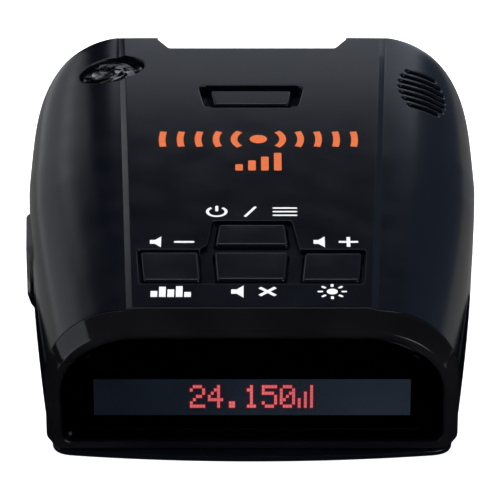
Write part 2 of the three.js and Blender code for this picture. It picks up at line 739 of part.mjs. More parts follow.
function pickupLens() {
  const sides = 10;
  const tilted = (ring) => ring.map((p) => p.setZ(p.z + PICKUP.tilt * (p.x - PICKUP.x)));
  return loft([
    ringAt(pickupOutline(0, sides), 22.2),
    tilted(ringAt(pickupOutline(0, sides), 24.5)),
    tilted(ringAt(pickupOutline(-1.1, sides), 25.1)),
  ]);
}

function powerSocket() {
  const [x0, x1] = POWER.x;
  const [y0, y1] = POWER.mouthY;
  const [z0, z1] = POWER.mouthZ;
  const body = box(x0, x1, POWER.y[0], POWER.y[1], POWER.z[0], POWER.z[1]);
  const middle = (y0 + y1) / 2;
  const latchSlot = box(-BIG, x1 - 6, middle - 1.6, middle + 1.6, z1 - 0.1, z1 + 1.4);
  return body.subtract(box(-BIG, x1 - 3, y0, y1, z0, z1)).subtract(latchSlot);
}

function audioSocket() {
  const [x0, x1] = AUDIO.x;
  const body = box(x0, x1, AUDIO.y - 3, AUDIO.y + 3, 9.8, 15.5);
  return body.subtract(rodAlongX(AUDIO.y, AUDIO.z, -BIG, x1 - 1, AUDIO.bore));
}

// ---------------------------------------------------------------- speaker

function turned(profile, x, y, z, segments = 24) {
  const geometry = new THREE.LatheGeometry(profile.map(([r, h]) => new THREE.Vector2(r, h)), segments);
  geometry.rotateX(Math.PI / 2);
  geometry.translate(x, y, z);
  return solid(geometry);
}

function speakerPart(profile) {
  return turned(profile, SPEAKER.x, SPEAKER.y, SPEAKER.base);
}

// Radius and height of each turned piece, from the back of the magnet.
const SPEAKER_GASKET = [[6.6, 6.6], [8, 6.6], [8, 8.0], [6.6, 8.0], [6.6, 6.6]];
const SPEAKER_FRAME = [[4, 3], [7.4, 3.6], [8, 4.6], [8, 6.3], [6.9, 6.3], [6.9, 4.9], [4, 4], [4, 3]];
const SPEAKER_CONE = [
  [0, 4.9], [2.2, 4.7], [3.4, 4.5], [6.0, 5.5], [6.6, 5.4],
  [6.6, 5.7], [5.9, 5.9], [3.4, 4.9], [2.2, 5.1], [0, 5.4],
];
const SPEAKER_MAGNET = [[0, 0], [4.6, 0], [4.6, 2.4], [3.6, 2.6], [3.6, 3.4], [0, 3.4]];

// ---------------------------------------------------------------- screws

// A pan-head screw standing on its tip or hanging from its head, with a cross recess.
function screw(x, y, { headZ, headHeight, headRadius, shaftZ, shaftRadius, up }) {
  const inner = up ? headZ : headZ + headHeight;
  const outer = up ? headZ + headHeight : headZ;
  const edge = up ? outer - 0.3 : outer + 0.3;
  const rim = headRadius - 0.4;
  const head = [[0, inner], [headRadius, inner], [headRadius, edge], [rim, outer], [0, outer]];
  const bite = 0.2;
  const ends = up ? [shaftZ, inner + bite] : [inner - bite, shaftZ];
  const shaft = rod(x, y, ...ends, shaftRadius, 10);
  const recess = [outer - 0.7, outer + 0.7];
  return turned(head, x, y, 0, 14).add(shaft)
    .subtract(box(x - 1.1, x + 1.1, y - 0.25, y + 0.25, ...recess))
    .subtract(box(x - 0.25, x + 0.25, y - 1.1, y + 1.1, ...recess));
}

const CASE_SCREW = {
  headZ: 4.2, headHeight: 1.5, headRadius: 2.0, shaftZ: 16, shaftRadius: 0.95, up: false,
};
const BOARD_SCREW = {
  headZ: BOARD_Z[1] + GAP, headHeight: 1.2, headRadius: 1.7, shaftZ: 10, shaftRadius: 0.8, up: true,
};

// ---------------------------------------------------------------- assembly

const detector = new THREE.Group();

function place(name, manifold, finish, parent = detector) {
  const mesh = new THREE.Mesh(toGeometry(manifold), finish);
  mesh.name = name;
  parent.add(mesh);
}

place('top_case', topCase(), CASE_BLACK());
place('bottom_case', bottomCase(), CASE_BLACK());

place('rear_bezel', rearBezel(), BEZEL_BLACK());
place('display_lens', prismY(openingOutline(GAP), LENS_FRONT_Y, LENS_BACK_Y), LENS_SMOKE());
place('display_mask', displayMask(), material(0x050506, 0.7));
place('display_panel', box(-27, 27, -46.4, -44.9, 5.0, 16.6), material(0x10151c, 0.2));
place('display_board', box(-25.5, 25.5, -44.6, -43.4, 4.4, 17.3), BOARD_GREEN());
place('display_flex', displayFlex(), material(0xb0762a, 0.5));
place('display_socket', box(-9, 9, -39.5, -36.6, 17.3, 18.9), PART_CREAM());

for (const [name, outline] of Object.entries(KEYS)) {
  const [x, y] = keyCentre(outline);
  place(`${name}_button`, key(name), KEY_BLACK());
  place(`${name}_switch`, switchBody(x, y), STEEL());
  place(`${name}_plunger`, switchPlunger(x, y), PART_BLACK());
}

place('release_button', releaseKey(), CASE_BLACK());
place('bracket_latch', bracketLatch(), STEEL());
place('release_spring', releaseSpring(), STEEL());
place('bracket_channel', bracketChannel(), PART_BLACK());

place('main_board', mainBoard(), BOARD_GREEN());
place('radio_board', radioBoard(), BOARD_GREEN());
place('horn_antenna', hornAntenna(), CAST_METAL());
place('shield_can', shieldCan(), STEEL());
place('processor', box(15.5, 24.5, -9, 0, 17.3, 18.4), PART_BLACK());
place('capacitor_left', capacitor(-19.5, -20), CAST_METAL());
place('capacitor_right', capacitor(19.5, -20), CAST_METAL());

place('front_window', frontWindow(), material(0x18090b, 0.15));
place('laser_receiver', box(18.8, 24.2, 40.5, 44.4, 6, 13), PART_BLACK());
place('laser_lens', laserLens(), LENS_SMOKE());
place('pickup_lens', pickupLens(), LENS_SMOKE());
place('pickup_sensor', box(-28, -21.2, 34.6, 39.4, 19.4, 21.9), PART_BLACK());

place('speaker_gasket', speakerPart(SPEAKER_GASKET), material(0x1c1c1c, 0.95));
place('speaker_frame', speakerPart(SPEAKER_FRAME), PART_BLACK());
place('speaker_cone', speakerPart(SPEAKER_CONE), material(0x2b2a28, 0.9));
place('speaker_magnet', speakerPart(SPEAKER_MAGNET), CAST_METAL());

place('power_socket', powerSocket(), PART_BLACK());
place('audio_socket', audioSocket(), PART_BLACK());

for (const [corner, [x, y]] of Object.entries(CASE_SCREWS)) {
  place(`case_screw_${corner}`, screw(x, y, CASE_SCREW), STEEL());
}
for (const [corner, [x, y]] of Object.entries(BOARD_SCREWS)) {
  place(`board_screw_${corner}`, screw(x, y, BOARD_SCREW), STEEL());
}
for (const [side, [x, y]] of Object.entries(HORN_SCREWS)) {
  place(`horn_screw_${side}`, screw(x, y, BOARD_SCREW), STEEL());
}

export default detector;
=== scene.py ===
"""Looks of the windscreen radar detector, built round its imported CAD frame. Metres, +Z up."""
import json
import math
import bmesh
import bpy
import numpy as np
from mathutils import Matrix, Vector
from mathutils.bvhtree import BVHTree

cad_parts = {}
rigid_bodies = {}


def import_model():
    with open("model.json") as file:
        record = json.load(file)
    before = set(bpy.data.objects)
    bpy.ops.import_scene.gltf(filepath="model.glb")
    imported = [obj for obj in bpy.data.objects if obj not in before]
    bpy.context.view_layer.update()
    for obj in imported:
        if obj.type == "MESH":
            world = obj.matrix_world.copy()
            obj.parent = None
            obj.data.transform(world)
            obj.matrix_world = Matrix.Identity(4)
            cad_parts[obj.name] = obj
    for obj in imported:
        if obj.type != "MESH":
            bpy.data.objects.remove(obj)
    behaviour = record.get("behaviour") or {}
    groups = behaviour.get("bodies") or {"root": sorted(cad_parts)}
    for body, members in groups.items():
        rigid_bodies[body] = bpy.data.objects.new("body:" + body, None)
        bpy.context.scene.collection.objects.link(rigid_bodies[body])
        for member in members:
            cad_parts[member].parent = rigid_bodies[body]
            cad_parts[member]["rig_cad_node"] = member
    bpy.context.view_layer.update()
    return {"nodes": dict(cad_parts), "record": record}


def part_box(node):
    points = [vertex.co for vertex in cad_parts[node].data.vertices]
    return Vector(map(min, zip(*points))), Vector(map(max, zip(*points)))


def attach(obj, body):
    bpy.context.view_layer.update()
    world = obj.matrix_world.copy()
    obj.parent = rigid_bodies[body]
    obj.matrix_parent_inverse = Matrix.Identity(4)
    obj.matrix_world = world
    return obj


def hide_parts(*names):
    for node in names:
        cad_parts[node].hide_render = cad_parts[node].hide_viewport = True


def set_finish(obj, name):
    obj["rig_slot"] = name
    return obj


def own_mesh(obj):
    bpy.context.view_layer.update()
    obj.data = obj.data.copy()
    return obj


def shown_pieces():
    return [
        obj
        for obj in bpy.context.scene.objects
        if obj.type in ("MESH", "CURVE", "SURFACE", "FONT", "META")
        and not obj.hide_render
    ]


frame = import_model()

MM = 0.001
QUARTER = math.pi / 2
FAR = 100 * MM                 # further than any cut has to reach
GAP = 0.3 * MM                 # clearance between neighbouring parts

# ---- camera

AIM = Vector((-0.34, -1.29, 10.76)) * MM
VIEW_DISTANCE = 700 * MM
VIEW_ELEVATION = math.radians(30)
SENSOR = 36.0
LENS = 293.2


def make_camera():
    data = bpy.data.cameras.new("camera")
    data.sensor_width = SENSOR
    data.lens = LENS
    data.clip_start = 0.01
    camera = bpy.data.objects.new("camera", data)
    bpy.context.scene.collection.objects.link(camera)
    back = Vector((0, -math.cos(VIEW_ELEVATION), math.sin(VIEW_ELEVATION)))
    camera.location = AIM + VIEW_DISTANCE * back
    camera.rotation_euler = (-back).to_track_quat("-Z", "Y").to_euler()
    bpy.context.scene.camera = camera


make_camera()

# ---- sizes, from the frame

top_low, top_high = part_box("top_case")
bottom_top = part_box("bottom_case")[1].z
bezel_low, bezel_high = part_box("rear_bezel")
lens_low, lens_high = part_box("display_lens")

PRINT = 0.02 * MM              # thickness of the printed marks, which end flush with the CAD deck
HALF_WIDTH = top_high.x
FRONT_Y = top_high.y
CASE_REAR_Y = top_low.y
DECK_Z = top_high.z - PRINT
PARTING_Z = (top_low.z + bottom_top) / 2
SEAM = top_low.z - PARTING_Z   # half of the gap between the two shells

# The plan outline and the rounding of the shells.
WIDEST_Y = 10.9 * MM
TAPER_Y = -44.5 * MM
REAR_HALF_WIDTH = 33.77 * MM
TAPER_POWER = 1.33
SIDE_SHARPNESS = 9.2
FRONT_SHARPNESS = 4.45
WALL = 1.8 * MM
DECK_REAR_HALF = 19.2 * MM
DECK_WIDENING = 0.0406
DECK_BEVEL = 1.1 * MM
DECK_STEP = 0.55 * MM
SHOULDER_MID = 9.5 * MM
SHOULDER_REAR = 12.5 * MM
SHOULDER_FRONT = 2 * MM
SHOULDER_CORNER = 4 * MM
SHOULDER_SPREAD = 0.6
FRONT_ROUNDING = 1 * MM
BOTTOM_RADIUS = 3.5 * MM
SIDE_DRAFT = 0.02

# ---- mesh tools


def link_mesh(name, points, faces):
    mesh = bpy.data.meshes.new(name)
    mesh.from_pydata([tuple(p) for p in points], [], faces)
    obj = bpy.data.objects.new(name, mesh)
    bpy.context.scene.collection.objects.link(obj)
    face_outwards(obj)
    return obj


def face_outwards(obj):
    """Turns the mesh inside out if its signed volume is negative."""
    mesh = obj.data
    mesh.calc_loop_triangles()
    corners = np.zeros(len(mesh.loop_triangles) * 3, np.int32)
    mesh.loop_triangles.foreach_get("vertices", corners)
    points = np.zeros(len(mesh.vertices) * 3)
    mesh.vertices.foreach_get("co", points)
    a, b, c = points.reshape(-1, 3)[corners].reshape(-1, 3, 3).transpose(1, 0, 2)
    if np.einsum("ij,ij->i", a, np.cross(b, c)).sum() < 0:
        mesh.flip_normals()


def loft(name, rings, tube=False):
    """A closed skin through rings of equal length: with flat ends, or as a ring-shaped tube."""
    count = len(rings[0])
    points = np.concatenate([np.asarray(ring, float) for ring in rings])
    steps = len(rings) if tube else len(rings) - 1
    faces = []
    for r in range(steps):
        low = r * count
        high = ((r + 1) % len(rings)) * count
        for i in range(count):
            j = (i + 1) % count
            faces.append((low + i, low + j, high + j, high + i))
    if not tube:
        faces.append(tuple(range(count))[::-1])
        faces.append(tuple(range((len(rings) - 1) * count, len(rings) * count)))
    return split_polygons(link_mesh(name, points, faces))


def split_polygons(obj):
    """Cuts the many-sided end faces into triangles, which suit booleans better."""
    work = bmesh.new()
    work.from_mesh(obj.data)
    ends = [face for face in work.faces if len(face.verts) > 4]
    bmesh.ops.triangulate(work, faces=ends, quad_method="BEAUTY", ngon_method="EAR_CLIP")
    work.to_mesh(obj.data)
    work.free()
    return obj


def at_height(outline, z):
    """A plan outline as a ring at height z, which may be one number or one per point."""
    outline = np.asarray(outline, float)
    return np.column_stack([outline, np.broadcast_to(z, len(outline))])


def at_depth(outline, y):
    """An outline in XZ as a ring at station y."""
    outline = np.asarray(outline, float)
    return np.column_stack([outline[:, 0], np.full(len(outline), y), outline[:, 1]])


def grow(outline, margin):
    """Moves a counter-clockwise outline outwards by a margin, along the normals at its points."""
    outline = np.asarray(outline, float)
    along = np.roll(outline, -1, axis=0) - outline
    length = np.linalg.norm(along, axis=1, keepdims=True)
    normal = np.column_stack([along[:, 1], -along[:, 0]]) / np.maximum(length, 1e-12)
    both = normal + np.roll(normal, 1, axis=0)
    size = np.linalg.norm(both, axis=1, keepdims=True)
    mitre = both / np.maximum(size, 1e-12)
    reach = margin / np.maximum(np.einsum("ij,ij->i", mitre, normal), 0.5)
    return outline + mitre * reach[:, None]


def round_corners(corners, radius, steps=8):
    """Replaces each corner, hollow or not, by a circular arc of that radius."""
    corners = np.asarray(corners, float)
    points = []
    for i, corner in enumerate(corners):
        before = corners[i - 1] - corner
        after = corners[(i + 1) % len(corners)] - corner
        before /= np.linalg.norm(before)
        after /= np.linalg.norm(after)
        half = math.acos(float(before @ after)) / 2
        bisector = (before + after) / np.linalg.norm(before + after)
        middle = corner + bisector * radius / math.sin(half)
        start = corner + before * radius / math.tan(half) - middle
        end = corner + after * radius / math.tan(half) - middle
        first = math.atan2(start[1], start[0])
        sweep = math.atan2(start[0] * end[1] - start[1] * end[0], float(start @ end))
        for k in range(steps + 1):
            t = first + sweep * k / steps
            points.append(middle + radius * np.array([math.cos(t), math.sin(t)]))
    return np.array(points)


def rectangle(x0, x1, y0, y1):
    return [(x0, y0), (x1, y0), (x1, y1), (x0, y1)]


def quad_corners(near_left, near_right, far_left, far_right, near, far):
    return [(near_left, near), (near_right, near), (far_right, far), (far_left, far)]


def disc(x, y, radius, sides=32):
    t = (np.arange(sides) + 0.5) / sides * 2 * math.pi
    return np.column_stack([x + radius * np.cos(t), y + radius * np.sin(t)])


def turned(points, angle):
    """Points in a plane, turned about its origin by an angle in radians."""
    c, s = math.cos(angle), math.sin(angle)
    return np.asarray(points, float) @ np.array([[c, s], [-s, c]])


def prism(name, outline, z0, z1):
    return loft(name, [at_height(outline, z0), at_height(outline, z1)])


def box_mesh(name, low, high):
    low, high = Vector(low), Vector(high)
    return prism(name, rectangle(low.x, high.x, low.y, high.y), low.z, high.z)


def combine(target, tools, operation):
    """Cuts or joins a solid with others, which are used up."""
    for tool in tools:
        modifier = target.modifiers.new("combine", "BOOLEAN")
        modifier.operation = operation
        modifier.solver = "MANIFOLD"
        modifier.object = tool
    bpy.context.view_layer.update()
    graph = bpy.context.evaluated_depsgraph_get()
    made = bpy.data.meshes.new_from_object(target.evaluated_get(graph))
    target.modifiers.clear()
    target.data = made
    for tool in tools:
        bpy.data.objects.remove(tool)
    return target


def cut(target, *tools):
    return combine(target, tools, "DIFFERENCE")


def join(target, *tools):
    return combine(target, tools, "UNION")


def smooth(obj, angle=32):
    """Smooth shading that follows the large faces and keeps edges sharper than the angle."""
    obj.data.shade_smooth()
    obj.data.set_sharp_from_angle(angle=math.radians(angle))
    weighted = obj.modifiers.new("weighted", "WEIGHTED_NORMAL")
    weighted.keep_sharp = True
    weighted.weight = 50
    return obj


def fillet(radius, steps=5):
    """(inset, drop) pairs of a quarter round, from the side face up to the top face."""
    turns = [QUARTER * k / steps for k in range(steps + 1)]
    return [(radius * (1 - math.cos(t)), radius * (1 - math.sin(t))) for t in turns]


def flared(name, outline, floor, mouth, radius, steps=5):
    """A cutter from its floor up or down to a mouth that opens in a quarter round."""
    way = 1 if mouth > floor else -1
    rings = [at_height(outline, floor)]
    for inset, drop in fillet(radius, steps):
        rings.append(at_height(grow(outline, inset), mouth - way * drop))
    rings.append(at_height(grow(outline, radius * 1.02), mouth + way * MM))
    return loft(name, rings)


def on_housing(piece, slot_name, *replaced):
    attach(piece, "housing")
    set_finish(piece, slot_name)
    if replaced:
        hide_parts(*replaced)
    return piece


# ---- case shells


def lerp(a, b, k):
    return a + (b - a) * k


def clamp01(k):
    return min(max(k, 0.0), 1.0)


def deck_half(y):
    return DECK_REAR_HALF + DECK_WIDENING * (y - CASE_REAR_Y)


def shoulder_height(y):
    return lerp(SHOULDER_MID, SHOULDER_REAR, clamp01(y / CASE_REAR_Y))


def side_half_width(y):
    run = (WIDEST_Y - y) / (WIDEST_Y - TAPER_Y)
    return HALF_WIDTH - (HALF_WIDTH - REAR_HALF_WIDTH) * run ** TAPER_POWER


def half_outline(rear_y, side_steps=44, corner_steps=72):
    """Right half of the plan outline as (x, y, normal x, normal y), from the display end forward."""
    rows = []
    for i in range(side_steps):
        y = lerp(rear_y, WIDEST_Y, i / side_steps)
        rows.append((side_half_width(y), y, 1.0, 0.0))
    reach = FRONT_Y - WIDEST_Y
    for i in range(corner_steps + 1):
        t = QUARTER * i / corner_steps
        u = 0.0 if i == corner_steps else math.cos(t) ** (2 / SIDE_SHARPNESS)
        v = math.sin(t) ** (2 / FRONT_SHARPNESS)
        normal = Vector((
            SIDE_SHARPNESS * u ** (SIDE_SHARPNESS - 1) / HALF_WIDTH,
            FRONT_SHARPNESS * v ** (FRONT_SHARPNESS - 1) / reach,
        )).normalized()
        rows.append((HALF_WIDTH * u, WIDEST_Y + reach * v, normal.x, normal.y))
    return rows


def whole_ring(half):
    """A ring from its right half, which starts at the display end and stops at the front centre."""
    left = [(-x, y, z) for x, y, z in reversed(half[:-1])]
    return np.array(list(half) + left)


def side_pull(z, inset):
    """How far the side wall lies inside the plan outline at height z."""
    rise = max(BOTTOM_RADIUS - z, 0.0)
    rounding = BOTTOM_RADIUS - math.sqrt(BOTTOM_RADIUS ** 2 - rise ** 2)
    return inset + rounding + SIDE_DRAFT * max(PARTING_Z - z, 0.0)


def side_ring(half, z, pull):
    return whole_ring([(x - pull * nx, y - pull * ny, z) for x, y, nx, ny in half])


def deck_edge(point, inset, margin):
    """Where a point of the plan outline ends on the deck, and how high its shoulder is."""
    x, y, nx, ny = point
    x0 = x - inset * nx
    y0 = y - inset * ny
    half = deck_half(y0)
    over = clamp01((x0 - half) / (HALF_WIDTH - half))
    side = lerp(shoulder_height(y0), SHOULDER_CORNER, ny)
    height = lerp(SHOULDER_FRONT, side, clamp01(over / SHOULDER_SPREAD))
    pull_back = FRONT_ROUNDING * (1 - over) if ny > 0 else 0.0
    return x0, y0, height, min(x0, half + margin), y0 - pull_back


def shoulder_rings(half, inset, steps):
    shoulder_top = DECK_Z - DECK_STEP - inset
    rings = []
    for i in range(steps + 1):
        t = QUARTER * i / steps
        k = 1 - math.cos(t)
        row = []
        for point in half:
            x0, y0, height, x, y = deck_edge(point, inset, DECK_BEVEL)
            row.append((lerp(x0, x, k), lerp(y0, y, k), shoulder_top - height * (1 - math.sin(t))))
        rings.append(whole_ring(row))
    return rings


def deck_ring(half, inset, rise, margin):
    """A ring across the bevel between shoulder and deck: rise 0 is its foot and 1 its top."""
    row = []
    for point in half:
        x, y = deck_edge(point, inset, margin)[3:]
        pull_back = DECK_BEVEL * rise * point[3] if point[3] > 0 else 0.0
        row.append((x, y - pull_back, DECK_Z - inset - DECK_STEP * (1 - rise)))
    return whole_ring(row)


def shell_edge(z, direction):
    """Heights and extra pull of the small rounding beside the parting line."""
    return [(z, 0.22 * MM), (z + 0.06 * MM * direction, 0.08 * MM), (z + 0.2 * MM * direction, 0.0)]


def outer_top():
    half = half_outline(CASE_REAR_Y)
    rings = [side_ring(half, z, side_pull(z, pull)) for z, pull in shell_edge(PARTING_Z + SEAM, 1)]
    rings += shoulder_rings(half, 0.0, 30)[1:]
    rings.append(deck_ring(half, 0.0, 0.06, DECK_BEVEL * 0.92))
    rings.append(deck_ring(half, 0.0, 0.92, DECK_BEVEL * 0.08))
    rings.append(deck_ring(half, 0.0, 1.0, -DECK_BEVEL * 0.12))
    return loft("top_case_skin", rings)


def inner_form():
    half = half_outline(CASE_REAR_Y - 2 * MM, 20, 30)
    heights = [WALL, 4 * MM, PARTING_Z]
    rings = [side_ring(half, z, side_pull(z, WALL)) for z in heights]
    rings += shoulder_rings(half, WALL, 10)[1:]
    rings.append(deck_ring(half, WALL, 1.0, 0.0))
    return loft("inner_form", rings)


# ---- openings in the shells

# Dictionaries and lists of corners are in millimetres from here on, and single values in metres.
KEYS = ("power_menu", "volume_down", "mute", "volume_up")
KEY_GAP = 0.35 * MM
WELL_FLOOR_Z = DECK_Z - 0.9 * MM
WELL_CORNERS = [
    (-18.3, -38.5), (18.2, -38.5), (18.8, -27.5), (7.9, -27.5), (6.6, -17.9),
    (-6.6, -17.9), (-7.4, -26.0), (-8.6, -27.5), (-18.9, -27.5),
]
RELEASE_WELL = quad_corners(-8.2, 8.0, -9.5, 9.1, 22.3, 30.5)
RELEASE_CORNER = 1.4 * MM
NOTCH = {"mouth_half": 17, "back_half": 14.9, "back_y": 45.2, "lip_y": 48.8, "floor_z": 19.5, "wall": 1.5}
SLOT = {"half": 12.1, "z0": 21.3, "z1": 23.0}
GRILLE = {
    "x": 30.1, "y": 30.9, "slots": 7, "pitch": 2.1, "half_length": 4.1, "half_height": 8.2, "width": 1.0,
    "turn": math.atan(-0.2),
}
PICKUP = {"centre": (-25, 37.6), "half_length": 5.6, "half_width": 4.1, "turn": 0.3, "tilt": 0.12}
SOCKETS = {
    "y0": -9.6, "y1": 0.5, "z0": 7.0, "z1": 13.6, "audio_y": 6.5, "audio_z": 12.7, "audio_radius": 2.55,
}
SURROUND = {
    "plan": [(-36.5, 4.4), (-37.9, 2.8), (-38.8, 1.6), (-38.3, -9.6), (-37.6, -12.6), (-36, -16)],
    "z0": 5.5, "z1": 17.0, "bevel": [(0.0, 1.4), (0.06, 1.22), (0.22, 1.0), (1.6, 0.0)],
}
FRONT_WINDOW = {"half": 24, "z0": 4, "z1": 17, "corner": 2, "pane_y": 48.6}
CORNERS = ("front_left", "front_right", "rear_left", "rear_right")
CASE_SCREW = {
    "boss": 2.6, "boss_top": 24, "pilot": 1.25, "pilot_top": 17, "post": 3.2, "sink": 2.3, "sink_top": 6,
    "hole": 1.3,
}
BOARD_POST = {"radius": 2.2, "pilot": 1.1, "pilot_low": 9, "under_magnet": 3.5}
RAIL = {"y0": 16, "y1": 44, "inset": 3, "width": 2}


def scaled(points):
    return [(x * MM, y * MM) for x, y in points]


def pickup_outline(share, margin, sides, start=0.0):
    """The pick-up window's outline at a share of its size, its points shifted by part of a side."""
    t = (np.arange(sides) + 0.5 + start) / sides * 2 * math.pi
    x = (PICKUP["half_length"] * share + margin) * np.cos(t)
    y = (PICKUP["half_width"] * share + margin) * np.sin(t)
    return (turned(np.column_stack([x, y]), PICKUP["turn"]) + PICKUP["centre"]) * MM


def key_outline(name):
    """The stem outline of a key cap, read from its CAD mesh just below the top edge."""
    node = frame["nodes"][f"{name}_button"]
    level = top_high.z - 0.35 * MM
    ring = np.array([v.co for v in node.data.vertices if abs(v.co.z - level) < 0.05 * MM])[:, :2]
    ring = np.unique(np.round(ring, 7), axis=0)
    centre = (ring.min(axis=0) + ring.max(axis=0)) / 2
    angle = np.arctan2(ring[:, 1] - centre[1], ring[:, 0] - centre[0])
    return ring[np.argsort(angle)]


def surface_tree(obj):
    mesh = obj.data
    return BVHTree.FromPolygons([v.co for v in mesh.vertices], [p.vertices for p in mesh.polygons])


def surface_ring(tree, outline, offset):
    """A ring that follows the shell's outer surface at an offset above or below it."""
    heights = [tree.ray_cast(Vector((x, y, FAR)), Vector((0, 0, -1)))[0].z for x, y in outline]
    return at_height(outline, np.array(heights) + offset)


def surface_cutter(name, tree, outline, floor, radius):
    rings = [at_height(outline, floor)]
    for inset, drop in fillet(radius, 4):
        rings.append(surface_ring(tree, grow(outline, inset), -drop))
    rings.append(surface_ring(tree, grow(outline, radius * 1.05), 1 * MM))
    return loft(name, rings)


def grille_cutters(tree):
    middle = (GRILLE["slots"] - 1) / 2
    cutters = []
    for i in range(GRILLE["slots"]):
        offset = (i - middle) * GRILLE["pitch"]
        reach = GRILLE["half_length"] * math.sqrt(1 - (offset / GRILLE["half_height"]) ** 2)
        bar = rectangle(-reach, reach, -GRILLE["width"] / 2, GRILLE["width"] / 2)
        outline = round_corners(bar, GRILLE["width"] * 0.45, 5)
        outline = turned(outline, GRILLE["turn"]) + (GRILLE["x"], GRILLE["y"] + offset)
        outline = subdivide(outline * MM, 0.5 * MM)
        cutters.append(surface_cutter(f"slot_{i}", tree, outline, 17.5 * MM, 0.42 * MM))
    return cutters


def subdivide(outline, step):
    """Adds points to the long edges of an outline."""
    points = []
    for a, b in zip(outline, np.roll(outline, -1, axis=0)):
        count = max(1, round(float(np.linalg.norm(b - a)) / step))
        points += [a + (b - a) * k / count for k in range(count)]
    return np.array(points)


def notch_cutter():
    """The bracket notch, with its rim eased where it meets the deck."""
    back, mouth = NOTCH["back_half"], NOTCH["mouth_half"]
    corners = [
        (-back, NOTCH["back_y"]), (back, NOTCH["back_y"]), (mouth, NOTCH["lip_y"]),
        (mouth, 60), (-mouth, 60), (-mouth, NOTCH["lip_y"]),
    ]
    outline = round_corners(scaled(corners), 0.6 * MM)
    return flared("notch", outline, NOTCH["floor_z"] * MM, DECK_Z, 0.3 * MM)


def window_outline(grown=0.0):
    half = FRONT_WINDOW["half"] * MM + grown
    z0 = FRONT_WINDOW["z0"] * MM - grown
    z1 = FRONT_WINDOW["z1"] * MM + grown
    return round_corners(rectangle(-half, half, z0, z1), FRONT_WINDOW["corner"] * MM)


def window_cutter(name):
    return loft(name, [at_depth(window_outline(), y) for y in (48 * MM, 60 * MM)])


def facing_left(name, outline, x0, x1):
    """A prism along X from an outline in YZ."""
    outline = np.asarray(outline, float)
    return loft(name, [np.column_stack([np.full(len(outline), x), outline]) for x in (x0, x1)])


def socket_cutters(name):
    """Cutters for the mouths of the power and audio sockets in the left flank."""
    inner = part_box("power_socket")[0].x + 2 * MM
    mouth = scaled(rectangle(SOCKETS["y0"], SOCKETS["y1"], SOCKETS["z0"], SOCKETS["z1"]))
    power = facing_left(f"{name}_power", round_corners(mouth, 0.5 * MM), -FAR, inner)
    jack = disc(SOCKETS["audio_y"], SOCKETS["audio_z"], SOCKETS["audio_radius"]) * MM
    return [power, facing_left(f"{name}_audio", jack, -FAR, inner)]


def surround(name, upper):
    """The half of the pad round the power socket that lies above or below the parting line."""
    plan = round_corners(scaled(SURROUND["plan"]), 0.5 * MM)
    edge = scaled(SURROUND["bevel"])
    if upper:
        levels = [(PARTING_Z + SEAM, 0.0)] + [(SURROUND["z1"] * MM - drop, inset) for inset, drop in edge]
    else:
        levels = [(SURROUND["z0"] * MM + drop, inset) for inset, drop in reversed(edge)]
        levels.append((PARTING_Z - SEAM, 0.0))
    return loft(name, [at_height(plan + (inset, 0.0), z) for z, inset in levels])


def node_centre(name):
    low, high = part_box(name)
    return (low.x + high.x) / 2, (low.y + high.y) / 2


def round_bar(name, centre, z0, z1, radius):
    """An upright cylinder whose radius is in millimetres."""
    return prism(name, disc(*centre, radius * MM), z0, z1)


def top_case():
    shell = outer_top()
    tree = surface_tree(shell)
    wall = NOTCH["wall"]
    housing = box_mesh(
        "notch_housing",
        Vector((-NOTCH["mouth_half"] - wall, NOTCH["back_y"] - wall, NOTCH["floor_z"] - wall)) * MM,
        Vector((NOTCH["mouth_half"] + wall, 60, 60)) * MM,
    )
    hollow = cut(inner_form(), housing)
    hollow = cut(hollow, box_mesh("below", (-FAR, -FAR, -FAR), (FAR, FAR, 3 * MM)))
    cut(join(shell, surround("upper_surround", True)), hollow)
    places = [node_centre(f"case_screw_{corner}") for corner in CORNERS]
    boss_top = CASE_SCREW["boss_top"] * MM
    bosses = [round_bar("boss", place, PARTING_Z + SEAM, boss_top, CASE_SCREW["boss"]) for place in places]
    posts = combine(join(*bosses), [outer_top()], "INTERSECT")
    pilot_top = CASE_SCREW["pilot_top"] * MM
    cut(posts, *[round_bar("bore", place, 0, pilot_top, CASE_SCREW["pilot"]) for place in places])
    join(shell, posts)
    slot = box_mesh(
        "bracket_slot",
        Vector((-SLOT["half"], 40, SLOT["z0"])) * MM,
        Vector((SLOT["half"], 60, SLOT["z1"])) * MM,
    )
    cut(shell, notch_cutter(), window_cutter("window"), *socket_cutters("top"), slot)
    well = round_corners(scaled(WELL_CORNERS), 0.5 * MM)
    cut(shell, flared("well", well, WELL_FLOOR_Z, DECK_Z, 0.22 * MM))
    cut(shell, *[prism(f"{k}_hole", grow(key_outline(k), KEY_GAP), 20 * MM, FAR) for k in KEYS])
    release = round_corners(scaled(RELEASE_WELL), RELEASE_CORNER)
    cut(shell, flared("release_hole", release, 20 * MM, DECK_Z, 0.3 * MM))
    cut(shell, *grille_cutters(tree))
    pickup = pickup_outline(1.0, 0.3, 48)
    cut(shell, surface_cutter("pickup_hole", tree, pickup, 18 * MM, 0.25 * MM))
    return on_housing(smooth(shell), "case_black", "top_case")


top_case()

CHIN = {
    "front": -51.65, "bow": 1.8, "bow_half": 29.4, "corner_y": -46.4, "corner_half": 32.6,
    "neck_half": 30.3, "top": 1.0, "round": 0.3,
}


def outer_bottom():
    half = half_outline(CASE_REAR_Y)
    heights = [BOTTOM_RADIUS * (1 - math.cos(QUARTER * k / 10)) for k in range(11)]
    rings = [side_ring(half, z, side_pull(z, 0.0)) for z in heights]
    rim = shell_edge(PARTING_Z - SEAM, -1)
    rings += [side_ring(half, z, side_pull(z, pull)) for z, pull in reversed(rim)]
    return loft("bottom_case_skin", rings)


